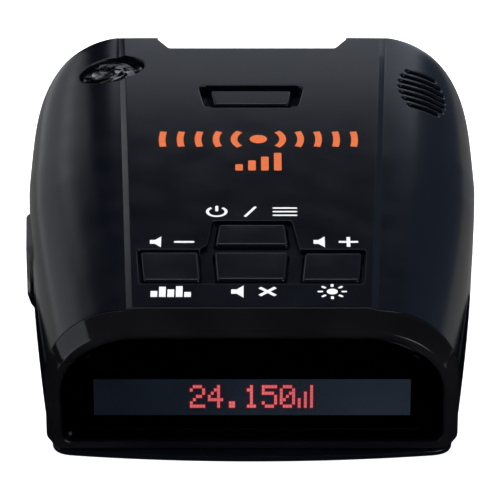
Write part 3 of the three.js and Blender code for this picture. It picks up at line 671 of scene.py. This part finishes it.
def chin_plate():
    """The thin lip under the display: bowed forward in the middle, with round corners."""
    bow_end = np.array([CHIN["bow_half"], CHIN["front"] + CHIN["bow"]])
    start = np.array([CHIN["corner_half"], CHIN["corner_y"]])
    handle = np.array([CHIN["corner_half"], CHIN["front"] + 1.25 * CHIN["bow"]])
    half = [(CHIN["neck_half"], CASE_REAR_Y / MM + 1), (CHIN["neck_half"], CASE_REAR_Y / MM - 0.2)]
    for k in np.linspace(0, 1, 13):
        half.append(tuple(start * (1 - k) ** 2 + 2 * handle * k * (1 - k) + bow_end * k ** 2))
    for share in np.linspace(1, 0, 21)[1:]:
        half.append((CHIN["bow_half"] * share, CHIN["front"] + CHIN["bow"] * share ** 2))
    points = half + [(-x, y) for x, y in reversed(half[:-1])]
    outline = np.array(scaled(points))[::-1]
    rise = CHIN["top"] * MM
    rounding = fillet(CHIN["round"] * MM, 4)
    low = [at_height(grow(outline, -inset), drop) for inset, drop in reversed(rounding)]
    high = [at_height(grow(outline, -inset), rise - drop) for inset, drop in rounding]
    return loft("chin", low + high)


def bottom_case():
    shell = join(outer_bottom(), surround("lower_surround", False))
    cut(shell, inner_form())
    floor = WALL - 0.2 * MM
    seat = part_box("case_screw_front_left")[1].z
    posts = []
    bores = []
    for corner in CORNERS:
        place = node_centre(f"case_screw_{corner}")
        sink = disc(*place, CASE_SCREW["sink"] * MM, 36)
        posts.append(round_bar("post", place, 0.5 * MM, PARTING_Z - SEAM, CASE_SCREW["post"]))
        bores.append(flared("sink", sink, CASE_SCREW["sink_top"] * MM, 0, 0.3 * MM, 4))
        bores.append(round_bar("bore", place, -MM, seat + 4 * MM, CASE_SCREW["hole"]))
    board_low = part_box("main_board")[0].z
    for corner in CORNERS:
        place = node_centre(f"board_screw_{corner}")
        posts.append(round_bar("post", place, floor, board_low - GAP, BOARD_POST["radius"]))
        bores.append(round_bar("bore", place, BOARD_POST["pilot_low"] * MM, FAR, BOARD_POST["pilot"]))
    magnet_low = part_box("speaker_magnet")[0].z
    place = node_centre("speaker_magnet")
    posts.append(round_bar("post", place, floor, magnet_low - GAP, BOARD_POST["under_magnet"]))
    low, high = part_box("horn_antenna")
    width = RAIL["width"] * MM
    for x in (low.x + RAIL["inset"] * MM, high.x - RAIL["inset"] * MM - width):
        start = (x, RAIL["y0"] * MM, floor)
        posts.append(box_mesh("rail", start, (x + width, RAIL["y1"] * MM, low.z - GAP)))
    low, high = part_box("laser_receiver")
    ledge_low = (low.x - 0.2 * MM, low.y - 0.2 * MM, floor)
    ledge_high = (high.x + 0.2 * MM, high.y - 0.2 * MM, low.z - GAP)
    posts.append(box_mesh("ledge", ledge_low, ledge_high))
    join(shell, *posts, chin_plate())
    cut(shell, *bores, window_cutter("window"), *socket_cutters("bottom"))
    return on_housing(smooth(shell), "case_black", "bottom_case")


bottom_case()

# ---- display end

CORNER_STEPS = 26
FOOT_STEPS = 10


def hood_outline(flat, top, reach, height, corner, corner_z, bottom=1.3, step=1.0, drop=0.5):
    """A loop in XZ, in metres from values in millimetres: flat top, elliptic shoulders, round feet."""
    right = [(flat, top), (flat + step, top - drop)]
    x0, z0 = flat + step, top - drop - height
    for i in range(1, CORNER_STEPS + 1):
        t = QUARTER * i / CORNER_STEPS
        right.append((x0 + (reach - x0) * math.sin(t), z0 + height * math.cos(t)))
    lowest = math.asin((corner_z - bottom) / corner)
    for i in range(FOOT_STEPS + 1):
        t = lowest * i / FOOT_STEPS
        right.append((reach - corner * (1 - math.cos(t)), corner_z - corner * math.sin(t)))
    left = [(-x, z) for x, z in reversed(right)]
    return np.array(right + left)[::-1] * MM


HOOD_CASE = hood_outline(
    flat=19.2, top=25.98, reach=33.58, height=12.5, corner=2.4, corner_z=2.4, step=1.1, drop=0.55,
)
HOOD_RIDGE = hood_outline(flat=18.2, top=23.9, reach=32.1, height=10.8, corner=2.2, corner_z=2.2)
HOOD_FACE = hood_outline(flat=18.2, top=23.6, reach=31.8, height=10.6, corner=2.0, corner_z=2.0)
OPENING = hood_outline(
    flat=17.9, top=22.1, reach=31, height=10, corner=2.2, corner_z=4.5, bottom=2.3, step=0.1, drop=0.01,
)
CASE_SEAM_Y = CASE_REAR_Y - 0.08 * MM
FACE_Y = bezel_low.y
RIDGE_Y = FACE_Y + 0.5 * MM
POCKET_Y = -47.1 * MM
SKIRT_Y = bezel_high.y


def rear_bezel():
    lip = 0.3 * MM
    edge = 0.22 * MM
    rings = []
    for inset, drop in reversed(fillet(lip, 6)):
        rings.append(at_depth(grow(HOOD_CASE, -inset), CASE_SEAM_Y - drop))
    start = CASE_SEAM_Y - lip * 1.4
    for k in (0.0, 0.33, 0.67, 0.9):
        rings.append(at_depth(lerp(HOOD_CASE, HOOD_RIDGE, k), lerp(start, RIDGE_Y, k)))
    for turn in np.linspace(0.15, 0.85, 6) * QUARTER:
        blended = lerp(HOOD_RIDGE, HOOD_FACE, 1 - math.cos(turn))
        rings.append(at_depth(blended, lerp(RIDGE_Y, FACE_Y, 0.9 * math.sin(turn))))
    rings.append(at_depth(grow(HOOD_FACE, -0.1 * MM), FACE_Y))
    for inset, drop in reversed(fillet(edge, 5)):
        rings.append(at_depth(grow(OPENING, edge - inset), FACE_Y + edge - drop))
    rings.append(at_depth(OPENING, POCKET_Y))
    rings += [at_depth(grow(OPENING, -1.5 * MM), y) for y in (POCKET_Y, SKIRT_Y)]
    rings += [at_depth(grow(OPENING, -GAP), y) for y in (SKIRT_Y, CASE_SEAM_Y)]
    bezel = loft("bezel_frame", rings, tube=True)
    return on_housing(smooth(bezel, 40), "bezel_black", "rear_bezel")


def display_lens():
    outline = grow(OPENING, -GAP)
    rings = []
    for inset, drop in reversed(fillet(0.18 * MM, 4)):
        rings.append(at_depth(grow(outline, -inset), lens_low.y + drop))
    rings.append(at_depth(outline, lens_high.y))
    lens = loft("lens_window", rings)
    return on_housing(smooth(lens, 40), "lens_smoke", "display_lens")


rear_bezel()
display_lens()

# ---- keys

KEY_ROUNDING = 0.5 * MM
KEY_CROWN = 0.06 * MM
KEY_FLANGE = 0.7 * MM
FLANGE_TOP = top_high.z - WALL - GAP
RELEASE_BLOCK = quad_corners(-6.7, 6.5, -7.4, 7.0, 24.1, 29.4)
COIL = {"wire": 0.2, "turns": 2.5, "steps": 100, "sides": 12}


def key_cap(name):
    outline = key_outline(name)
    flange = grow(outline, KEY_FLANGE)
    rings = [at_height(flange, z) for z in (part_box(f"{name}_button")[0].z, FLANGE_TOP)]
    rings.append(at_height(outline, FLANGE_TOP))
    for inset, drop in fillet(KEY_ROUNDING, 6):
        rings.append(at_height(grow(outline, -inset), DECK_Z - drop - KEY_CROWN))
    inner = grow(outline, -KEY_ROUNDING)
    centre = inner.mean(axis=0)
    for share in (0.85, 0.6, 0.3, 0.1):
        rings.append(at_height(centre + (inner - centre) * share, DECK_Z - KEY_CROWN * share ** 2))
    cap = loft(f"{name}_cap", rings)
    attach(cap, f"{name}_key")
    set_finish(cap, "key_black")
    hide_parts(f"{name}_button")
    return smooth(cap)


def release_key():
    low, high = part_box("release_button")
    block = round_corners(scaled(RELEASE_BLOCK), 0.6 * MM)
    foot = grow(block, GAP)
    well = grow(round_corners(scaled(RELEASE_WELL), RELEASE_CORNER), KEY_FLANGE)
    plate = prism("release_cap", well, low.z, FLANGE_TOP)
    rings = [at_height(foot, z) for z in (low.z + 0.1 * MM, FLANGE_TOP - 0.5 * MM)]
    for inset, drop in fillet(0.45 * MM, 6):
        rings.append(at_height(grow(block, -inset), high.z - drop))
    join(plate, loft("release_block", rings))
    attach(plate, "release_key")
    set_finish(plate, "case_black")
    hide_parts("release_button")
    return smooth(plate)


def release_spring():
    """The coil of round wire under the release key. The real coil shortens as the key goes down; this one
    keeps one length.
    """
    low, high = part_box("release_spring")
    x, y = node_centre("release_spring")
    wire = COIL["wire"] * MM
    coil = (high.x - low.x) / 2 - wire
    around = np.arange(COIL["sides"]) / COIL["sides"] * 2 * math.pi
    rings = []
    for t in np.linspace(0, 1, COIL["steps"] + 1):
        turn = COIL["turns"] * t * 2 * math.pi
        reach = coil + wire * np.cos(around)
        z = lerp(low.z + wire, high.z - wire, t) + wire * np.sin(around)
        rings.append(np.column_stack([x + reach * math.cos(turn), y + reach * math.sin(turn), z]))
    spring = loft("release_coil", rings)
    on_housing(smooth(spring, 60), "spring_steel", "release_spring")
    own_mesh(spring)


for key in KEYS:
    key_cap(key)
release_key()
release_spring()

# ---- windows

# The pick-up window's share of its outline and its height, from foot to crown.
PICKUP_ROWS = ((0.99, 22.2), (0.99, 24.4), (0.9, 24.85), (0.66, 25.1), (0.38, 25.2), (0.12, 25.3))


def pickup_lens():
    """The faceted pick-up window, level with the deck on one side and the shoulder on the other."""
    sides = 12
    centre_x = PICKUP["centre"][0] * MM
    rings = []
    for i, (share, z) in enumerate(PICKUP_ROWS):
        ring = pickup_outline(share, 0.0, sides, i * 0.5)
        facet = np.sin(np.arange(sides) * 2.4 + i * 1.7) * (0.16 * MM if i > 1 else 0.0)
        tilt = (ring[:, 0] - centre_x) * (PICKUP["tilt"] if i > 0 else 0.0)
        rings.append(at_height(ring, z * MM + facet + tilt))
    return on_housing(loft("pickup_window", rings), "lens_smoke", "pickup_lens")


def front_window():
    low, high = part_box("front_window")
    pane = window_outline(-GAP)
    pane_y = FRONT_WINDOW["pane_y"] * MM
    flange = round_corners(rectangle(low.x, high.x, low.z, high.z), FRONT_WINDOW["corner"] * MM)
    rings = [at_depth(flange, low.y), at_depth(flange, pane_y), at_depth(pane, pane_y)]
    for inset, drop in fillet(0.3 * MM):
        rings.append(at_depth(grow(pane, -inset), high.y - drop))
    return on_housing(smooth(loft("front_pane", rings)), "window_red", "front_window")


pickup_lens()
front_window()

# ---- printed marks


def signed_area(points):
    after = np.roll(points, -1, axis=0)
    return float((points[:, 0] * after[:, 1] - after[:, 0] * points[:, 1]).sum()) / 2


def prisms(name, outlines, low, high, upright=False):
    """One mesh of separate thin prisms: on the deck, or standing in the display."""
    points = []
    faces = []
    for outline in outlines:
        outline = np.asarray(outline, float)
        if signed_area(outline) < 0:
            outline = outline[::-1]
        count = len(outline)
        start = len(points)
        for level in (low, high):
            ring = at_depth(outline, level) if upright else at_height(outline, level)
            points.extend(ring)
        for i in range(count):
            j = (i + 1) % count
            faces.append((start + i, start + j, start + count + j, start + count + i))
        faces.append(tuple(start + i for i in reversed(range(count))))
        faces.append(tuple(start + count + i for i in range(count)))
    return link_mesh(name, points, faces)


def bar(x, y, length, width, angle=0.0, corner=0.4):
    """A bar with rounded ends, centred at x, y and turned by an angle in degrees."""
    outline = rectangle(-length / 2, length / 2, -width / 2, width / 2)
    rounded = round_corners(outline, corner * min(length, width), 4)
    return turned(rounded, math.radians(angle)) + (x, y)


def arc_band(x, y, radius, width, start, end, steps=24):
    """A band along an arc, between two angles in degrees."""
    turns = np.radians(np.linspace(start, end, steps + 1))
    ray = np.column_stack([np.cos(turns), np.sin(turns)])
    outer = ray * (radius + width / 2)
    inner = ray[::-1] * (radius - width / 2)
    return np.concatenate([outer, inner]) + (x, y)


def cross(x, y, reach, width, angle=0.0):
    h = width / 2
    corner = [(h, h), (h, reach), (-h, reach), (-h, h)]
    points = []
    for quarter in range(4):
        points.extend(turned(corner, quarter * QUARTER))
    return turned(points, math.radians(angle)) + (x, y)


def horn_glyph(x, y, size):
    """A loudspeaker symbol."""
    shape = [(-0.42, -0.17), (-0.2, -0.17), (0.08, -0.48), (0.08, 0.48), (-0.2, 0.17), (-0.42, 0.17)]
    return [np.array(shape) * size + (x, y)]


def power_glyph(x, y, size):
    stroke = 0.13 * size
    return [arc_band(x, y, 0.4 * size, stroke, 125, 415), bar(x, y + 0.27 * size, 0.48 * size, stroke, 90)]


def menu_glyph(x, y, size):
    return [bar(x, y + row * 0.34 * size, 1.15 * size, 0.13 * size) for row in (-1, 0, 1)]


def skyline_glyph(x, y, size):
    heights = (0.55, 0.95, 0.7, 1.0, 0.45)
    outlines = []
    for i, height in enumerate(heights):
        left = x + (i - len(heights) / 2) * 0.4 * size
        foot = y - size / 2
        outlines.append(rectangle(left, left + 0.32 * size, foot, foot + height * size))
    return outlines


def sun_glyph(x, y, size):
    ray = bar(0.43 * size, 0, 0.2 * size, 0.11 * size)
    rays = [turned(ray, k * math.pi / 4) + (x, y) for k in range(8)]
    return [disc(x, y, 0.2 * size)] + rays


def white_marks():
    """Plain symbols beside the keys, in millimetres."""
    high, middle, low = -14.85, -25.0, -41.1
    outlines = power_glyph(-5.9, high, 3.9)
    outlines += [bar(-0.3, high, 3.9, 0.5, 62)]
    outlines += menu_glyph(5.5, high, 3.6)
    outlines += horn_glyph(-15.3, middle, 3.7) + [bar(-11.2, middle, 3.4, 0.6)]
    outlines += horn_glyph(11.7, middle, 3.7) + [cross(15.9, middle, 1.6, 0.6)]
    outlines += skyline_glyph(-13.0, low, 3.4)
    outlines += horn_glyph(-1.7, low, 4.0) + [cross(2.5, low, 1.8, 0.65, 45)]
    outlines += sun_glyph(12.95, low, 4.5)
    return printed("white_marks", outlines, "print_white")


def orange_marks():
    """A decoration of arcs that spread from a dot, over a row of rising bars, in millimetres."""
    x, y = 1.1, 10.6
    outlines = [disc(x, y, 1.5)]
    for ring in range(5):
        radius = 4.2 + 3.1 * ring
        reach = math.degrees(math.asin(2.7 / radius))
        outlines += [arc_band(x, y, radius, 1.15, side - reach, side + reach) for side in (0, 180)]
    foot = -0.6
    for i in range(4):
        height = 2.2 + 1.35 * i
        outlines.append(bar(x - 3.3 + 2.2 * i, foot + height / 2, 1.3, height, 0.0, 0.2))
    return printed("orange_marks", outlines, "print_orange")


def printed(name, outlines, slot_name):
    marks = prisms(name, [np.asarray(o) * MM for o in outlines], DECK_Z - 0.01 * MM, DECK_Z + PRINT)
    return on_housing(marks, slot_name)


white_marks()
orange_marks()

# ---- lit display

GLYPHS = {
    "0": ("01110", "10001", "10011", "10101", "11001", "10001", "01110"),
    "1": ("00100", "01100", "00100", "00100", "00100", "00100", "01110"),
    "2": ("01110", "10001", "00001", "00110", "01000", "10000", "11111"),
    "4": ("00010", "00110", "01010", "10010", "11111", "00010", "00010"),
    "5": ("11111", "10000", "11110", "00001", "00001", "10001", "01110"),
    ".": ("00000", "00000", "00000", "00000", "00000", "01100", "01100"),
    "bars": ("00001", "00001", "00101", "00101", "10101", "10101", "10101"),
}
READING = ("2", "4", ".", "1", "5", "0", "bars")
CELL = 2.92                    # millimetres from one character to the next
DOT = 0.62                     # millimetres from one row of dots to the next
READOUT = {"x": -0.15, "z": 9.7}


def lit_dots(size, grown):
    half_x = size * 0.25 + grown
    half_z = size * DOT / 2 + grown
    outlines = []
    for place, glyph in enumerate(READING):
        left = READOUT["x"] + (place - len(READING) / 2) * CELL + 0.25
        for row, line in enumerate(GLYPHS[glyph]):
            for column, dot in enumerate(line):
                if dot == "1":
                    x = left + (column + 0.5) * 0.5
                    z = READOUT["z"] + (3 - row) * DOT
                    outlines.append(scaled(rectangle(x - half_x, x + half_x, z - half_z, z + half_z)))
    return outlines


def readout():
    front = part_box("display_panel")[0].y
    dots = prisms("lit_dots", lit_dots(0.9, 0.0), front - 0.04 * MM, front - 0.02 * MM, True)
    glow = prisms("dot_glow", lit_dots(1.0, 0.12), front - 0.015 * MM, front - 0.005 * MM, True)
    return [on_housing(dots, "display_glass"), on_housing(glow, "display_glass")]


dots, glow = readout()

# ---- materials


class Finish:
    """A node material on the Principled shader, with short calls for the nodes that it uses."""

    def __init__(self, name):
        self.material = bpy.data.materials.new(name)
        self.material.use_nodes = True
        self.tree = self.material.node_tree
        self.tree.nodes.clear()
        output = self.node("OutputMaterial")
        self.shader = self.node("BsdfPrincipled")
        self.tree.links.new(self.shader.outputs["BSDF"], output.inputs["Surface"])
        self.place = self.node("TexCoord").outputs["Object"]

    def node(self, kind, **inputs):
        made = self.tree.nodes.new(f"ShaderNode{kind}")
        for socket, value in inputs.items():
            self.feed(made, socket.replace("_", " "), value)
        return made

    def feed(self, node, socket, value):
        if isinstance(value, bpy.types.NodeSocket):
            self.tree.links.new(value, node.inputs[socket])
        else:
            node.inputs[socket].default_value = value

    def set(self, **inputs):
        for socket, value in inputs.items():
            self.feed(self.shader, socket.replace("_", " "), value)

    def noise(self, scale, detail=3.0, place=None):
        made = self.node("TexNoise", Vector=place or self.place, Scale=scale, Detail=detail)
        return made.outputs["Fac"]

    def span(self, value, low, high, start=0.3, end=0.7):
        made = self.node("MapRange", Value=value, From_Min=start, From_Max=end, To_Min=low, To_Max=high)
        return made.outputs["Result"]

    def blend(self, value, first, second):
        ramp = self.node("ValToRGB", Fac=value)
        for stop, position, colour in zip(ramp.color_ramp.elements, (0.3, 0.7), (first, second)):
            stop.position = position
            stop.color = (*colour, 1)
        return ramp.outputs["Color"]

    def stretched(self, x, y, z):
        return self.node("Mapping", Vector=self.place, Scale=(x, y, z)).outputs["Vector"]

    def relief(self, height, depth):
        made = self.node("Bump", Height=height, Strength=1.0, Distance=depth)
        self.set(Normal=made.outputs["Normal"])


def plain(name, dark, light, rough, tone, sheen, grain, depth, specular=0.5):
    """A finish of one colour. Its tone, sheen and grain are each a noise, given as scale and detail."""
    finish = Finish(name)
    finish.set(Base_Color=finish.blend(finish.noise(*tone), dark, light), Specular_IOR_Level=specular)
    finish.set(Roughness=finish.span(finish.noise(*sheen), *rough))
    finish.relief(finish.noise(*grain), depth)
    return finish.material


def moulded(name, dark, light, rough, grain=3200, depth=4e-6, specular=0.5):
    """Black or coloured plastic with a fine mould grain and slow changes of tone and gloss."""
    return plain(name, dark, light, rough, (70, 4), (160, 5), (grain, 2), depth, specular)


def gloss(name, dark, light, rough):
    return plain(name, dark, light, rough, (90, 3), (420, 6), (900, 3), 1.2e-6)


def paint(name, dark, light, rough):
    return plain(name, dark, light, rough, (1200, 4), (2500, 3), (4000, 2), 2e-6)


def metal(name, dark, light, rough, scale, stretch=(1, 1, 1), depth=8e-6):
    finish = Finish(name)
    grain = finish.noise(scale, 4, finish.stretched(*stretch))
    finish.set(Base_Color=finish.blend(grain, dark, light), Metallic=1.0)
    finish.set(Roughness=finish.span(grain, *rough))
    finish.relief(grain, depth)
    return finish.material


def smoked(name, tint, darker, rough):
    """Smoked clear plastic."""
    finish = Finish(name)
    finish.set(Base_Color=finish.blend(finish.noise(140, 2), darker, tint))
    finish.set(Roughness=finish.span(finish.noise(600, 4), *rough))
    finish.set(Transmission_Weight=1.0, IOR=1.46)
    return finish.material


def display_glass(name):
    """Dark display glass with a painted reflection: its colour and a faint painted glow grow lighter
    towards the right. Over it lies the faint grid of its unlit dots.
    """
    finish = Finish(name)
    parts = finish.node("SeparateXYZ", Vector=finish.place)
    # Left-to-right ramp of painted reflection, lighter on the right
    across = finish.span(parts.outputs["X"], 0.25, 0.75, -26 * MM, 26 * MM)
    finish.set(Base_Color=finish.blend(across, (0.006, 0.010, 0.018), (0.018, 0.026, 0.040)))
    # Painted glow: the unlit glass emits a faint light that follows the same painted reflection ramp
    finish.set(Emission_Color=finish.blend(across, (0.019, 0.028, 0.042), (0.055, 0.078, 0.100)))
    finish.set(Emission_Strength=1.0)
    grid = finish.node("TexVoronoi", Vector=finish.place, Scale=1600.0)
    finish.set(Roughness=finish.span(grid.outputs["Distance"], 0.25, 0.4))
    finish.relief(grid.outputs["Distance"], 4e-6)
    return finish.material


def board_finish(name):
    """Solder mask over copper: lighter tracks, and the weave of the glass cloth."""
    finish = Finish(name)
    tracks = finish.node("TexVoronoi", Vector=finish.stretched(1, 0.55, 1), Scale=420.0)
    tracks.distance = "CHEBYCHEV"
    colour = finish.blend(tracks.outputs["Distance"], (0.010, 0.060, 0.030), (0.020, 0.130, 0.060))
    finish.set(Base_Color=colour, Roughness=finish.span(finish.noise(500, 3), 0.28, 0.45))
    finish.relief(tracks.outputs["Distance"], 2e-5)
    return finish.material


def ribbon_finish(name):
    """Amber film over parallel copper tracks."""
    finish = Finish(name)
    wave = finish.node("TexWave", Vector=finish.place, Scale=620.0, Distortion=0.0)
    wave.bands_direction = "X"
    finish.set(Base_Color=finish.blend(wave.outputs["Fac"], (0.30, 0.12, 0.02), (0.62, 0.30, 0.07)))
    finish.set(Roughness=finish.span(finish.noise(300, 3), 0.25, 0.4))
    finish.relief(wave.outputs["Fac"], 1.5e-5)
    return finish.material


def porous(name, dark, light, scale, depth):
    finish = Finish(name)
    cells = finish.node("TexVoronoi", Vector=finish.place, Scale=scale)
    finish.set(Base_Color=finish.blend(cells.outputs["Distance"], dark, light))
    finish.set(Roughness=finish.span(finish.noise(scale / 2), 0.8, 0.98))
    finish.relief(cells.outputs["Distance"], depth)
    return finish.material


def lit(name, colour, strength):
    """Glowing display dots, a little uneven from one to the next."""
    finish = Finish(name)
    uneven = finish.noise(900, 2)
    finish.set(Base_Color=finish.blend(uneven, (0.02, 0.002, 0.002), (0.05, 0.01, 0.01)))
    finish.set(Roughness=0.4, Emission_Color=(*colour, 1), Emission_Strength=strength)
    return finish.material


LOOKS = {
    "case_black": (moulded, (0.0012, 0.0018, 0.0040), (0.0018, 0.0027, 0.0054), (0.19, 0.24)),
    "key_black": (moulded, (0.0018, 0.0025, 0.0048), (0.0026, 0.0035, 0.0062), (0.2, 0.26), 4200),
    "bezel_black": (gloss, (0.003, 0.003, 0.004), (0.006, 0.006, 0.007), (0.07, 0.12)),
    "lens_smoke": (smoked, (0.30, 0.30, 0.34), (0.24, 0.24, 0.28), (0.02, 0.05)),
    "mask_black": (moulded, (0.001, 0.001, 0.001), (0.002, 0.002, 0.002), (0.7, 0.85), 2000, 3e-6, 0.1),
    "display_glass": (display_glass,),
    "board_green": (board_finish,),
    "flex_amber": (ribbon_finish,),
    "connector_cream": (moulded, (0.55, 0.50, 0.40), (0.66, 0.61, 0.50), (0.45, 0.6)),
    "moulding_black": (moulded, (0.010, 0.010, 0.011), (0.018, 0.018, 0.019), (0.45, 0.6)),
    "cast_metal": (metal, (0.42, 0.43, 0.44), (0.60, 0.60, 0.61), (0.35, 0.55), 900, (1, 1, 1), 3e-5),
    "can_metal": (metal, (0.60, 0.60, 0.58), (0.72, 0.72, 0.70), (0.2, 0.35), 700, (1, 6, 1)),
    "tin_plate": (metal, (0.62, 0.62, 0.60), (0.75, 0.75, 0.73), (0.22, 0.36), 1200, (5, 1, 1)),
    "spring_steel": (metal, (0.38, 0.39, 0.41), (0.55, 0.56, 0.58), (0.2, 0.35), 1500, (1, 1, 4)),
    "screw_steel": (metal, (0.32, 0.33, 0.35), (0.50, 0.51, 0.53), (0.22, 0.4), 1400, (1, 4, 1)),
    "window_red": (moulded, (0.006, 0.001, 0.001), (0.014, 0.002, 0.002), (0.06, 0.12), 900, 1e-6),
    "foam_black": (porous, (0.006, 0.006, 0.006), (0.025, 0.025, 0.025), 1800, 8e-5),
    "cone_paper": (porous, (0.018, 0.017, 0.016), (0.04, 0.038, 0.035), 1100, 4e-5),
    "print_white": (paint, (0.78, 0.79, 0.81), (0.86, 0.87, 0.88), (0.45, 0.6)),
    "print_orange": (paint, (0.66, 0.125, 0.026), (0.73, 0.15, 0.034), (0.42, 0.55)),
}
FINISHES = {name: make(name, *values) for name, (make, *values) in LOOKS.items()}
LIT_RED = lit("lit_red", (1.0, 0.19, 0.185), 2.9)
GLOW_RED = lit("glow_red", (0.5, 0.01, 0.015), 1.0)


def paint_everything():
    slots = {part["node"]: part["material_slot"] for part in frame["record"]["subparts"]}
    for name, node in frame["nodes"].items():
        assign(node, FINISHES[slots[name]])
    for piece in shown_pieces():
        if "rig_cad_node" not in piece:
            assign(piece, FINISHES[piece["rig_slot"]])
    assign(dots, LIT_RED)
    assign(glow, GLOW_RED)


def assign(obj, material):
    obj.data.materials.clear()
    obj.data.materials.append(material)


paint_everything()

# ---- floor and lights

FLOOR_HALF = 6.0


def make_floor():
    outline = rectangle(-FLOOR_HALF, FLOOR_HALF, -FLOOR_HALF, FLOOR_HALF)
    floor = loft("floor", [at_height(outline, -20 * MM), at_height(outline, -0.02 * MM)])
    finish = Finish("floor_white")
    finish.set(Base_Color=finish.blend(finish.noise(3, 2), (0.86, 0.86, 0.86), (0.9, 0.9, 0.9)))
    finish.set(Roughness=0.9, Emission_Color=(1, 1, 1, 1), Emission_Strength=0.75)
    assign(floor, finish.material)
    floor.visible_glossy = False
    floor.visible_transmission = False


def softbox(name, place, target, width, height, radiance, colour=(1, 1, 1), glossy=True, diffuse=True):
    """A rectangular light that faces its target. Its power follows from its radiance and size."""
    data = bpy.data.lights.new(name, "AREA")
    data.shape = "RECTANGLE"
    data.size = width
    data.size_y = height
    data.energy = radiance * math.pi * width * height
    data.color = colour
    light = bpy.data.objects.new(name, data)
    bpy.context.scene.collection.objects.link(light)
    light.location = Vector(place)
    aim = Vector(target) - light.location
    light.rotation_euler = aim.to_track_quat("-Z", "Y").to_euler()
    light.visible_camera = False
    light.visible_glossy = glossy
    light.visible_diffuse = diffuse
    return light


def make_lights():
    """Diffuse light from above, and cards that the camera sees only as reflections."""
    softbox("overhead_fill", (0, 0, 2.2), (0, 0, 0), 3.2, 3.2, 2.4, glossy=False)
    softbox("back_card", (0.012, 0.13, 0.04), (0.012, 0, 0.04), 0.095, 0.08, 0.62, (0.92, 0.98, 1.1))
    softbox(
        "back_left_card", (-0.179, 0.13, 0.043), (-0.179, 0, 0.043), 0.242, 0.086, 0.37, (0.95, 0.98, 1.06),
    )
    softbox("bevel_card", (-0.42, 0.866, 0.31), (0, 0, 0.02), 0.12, 0.12, 0.4)
    softbox("right_card", (0.3, 0.5, 0.15), (0, 0, 0.02), 0.5, 0.35, 0.11, (0.6, 0.78, 1.1))
    softbox("top_card", (0.0, 0.45, 0.75), (0, 0, 0.01), 0.6, 0.3, 2.0, (0.95, 0.99, 1.08))
    softbox("low_card", (0, 0.25, 0.001), (0, 0.25, 1), 0.7, 0.5, 0.25, diffuse=False)
    softbox("front_right_card", (0.8, -0.9, 0.6), (0, 0, 0.01), 0.8, 0.5, 3.5)
    softbox("left_side_card", (-0.78, 0.06, 0.38), (0, 0, 0.02), 0.75, 0.62, 0.72, (0.94, 0.98, 1.07))


def make_world():
    world = bpy.data.worlds.new("studio")
    bpy.context.scene.world = world
    world.use_nodes = True
    world.node_tree.nodes["Background"].inputs["Color"].default_value = (0.93, 0.94, 0.95, 1)
    world.cycles_visibility.glossy = False
    world.cycles_visibility.diffuse = False
    world.cycles_visibility.transmission = False


make_floor()
make_lights()
make_world()
bpy.context.scene.view_settings.view_transform = "Standard"
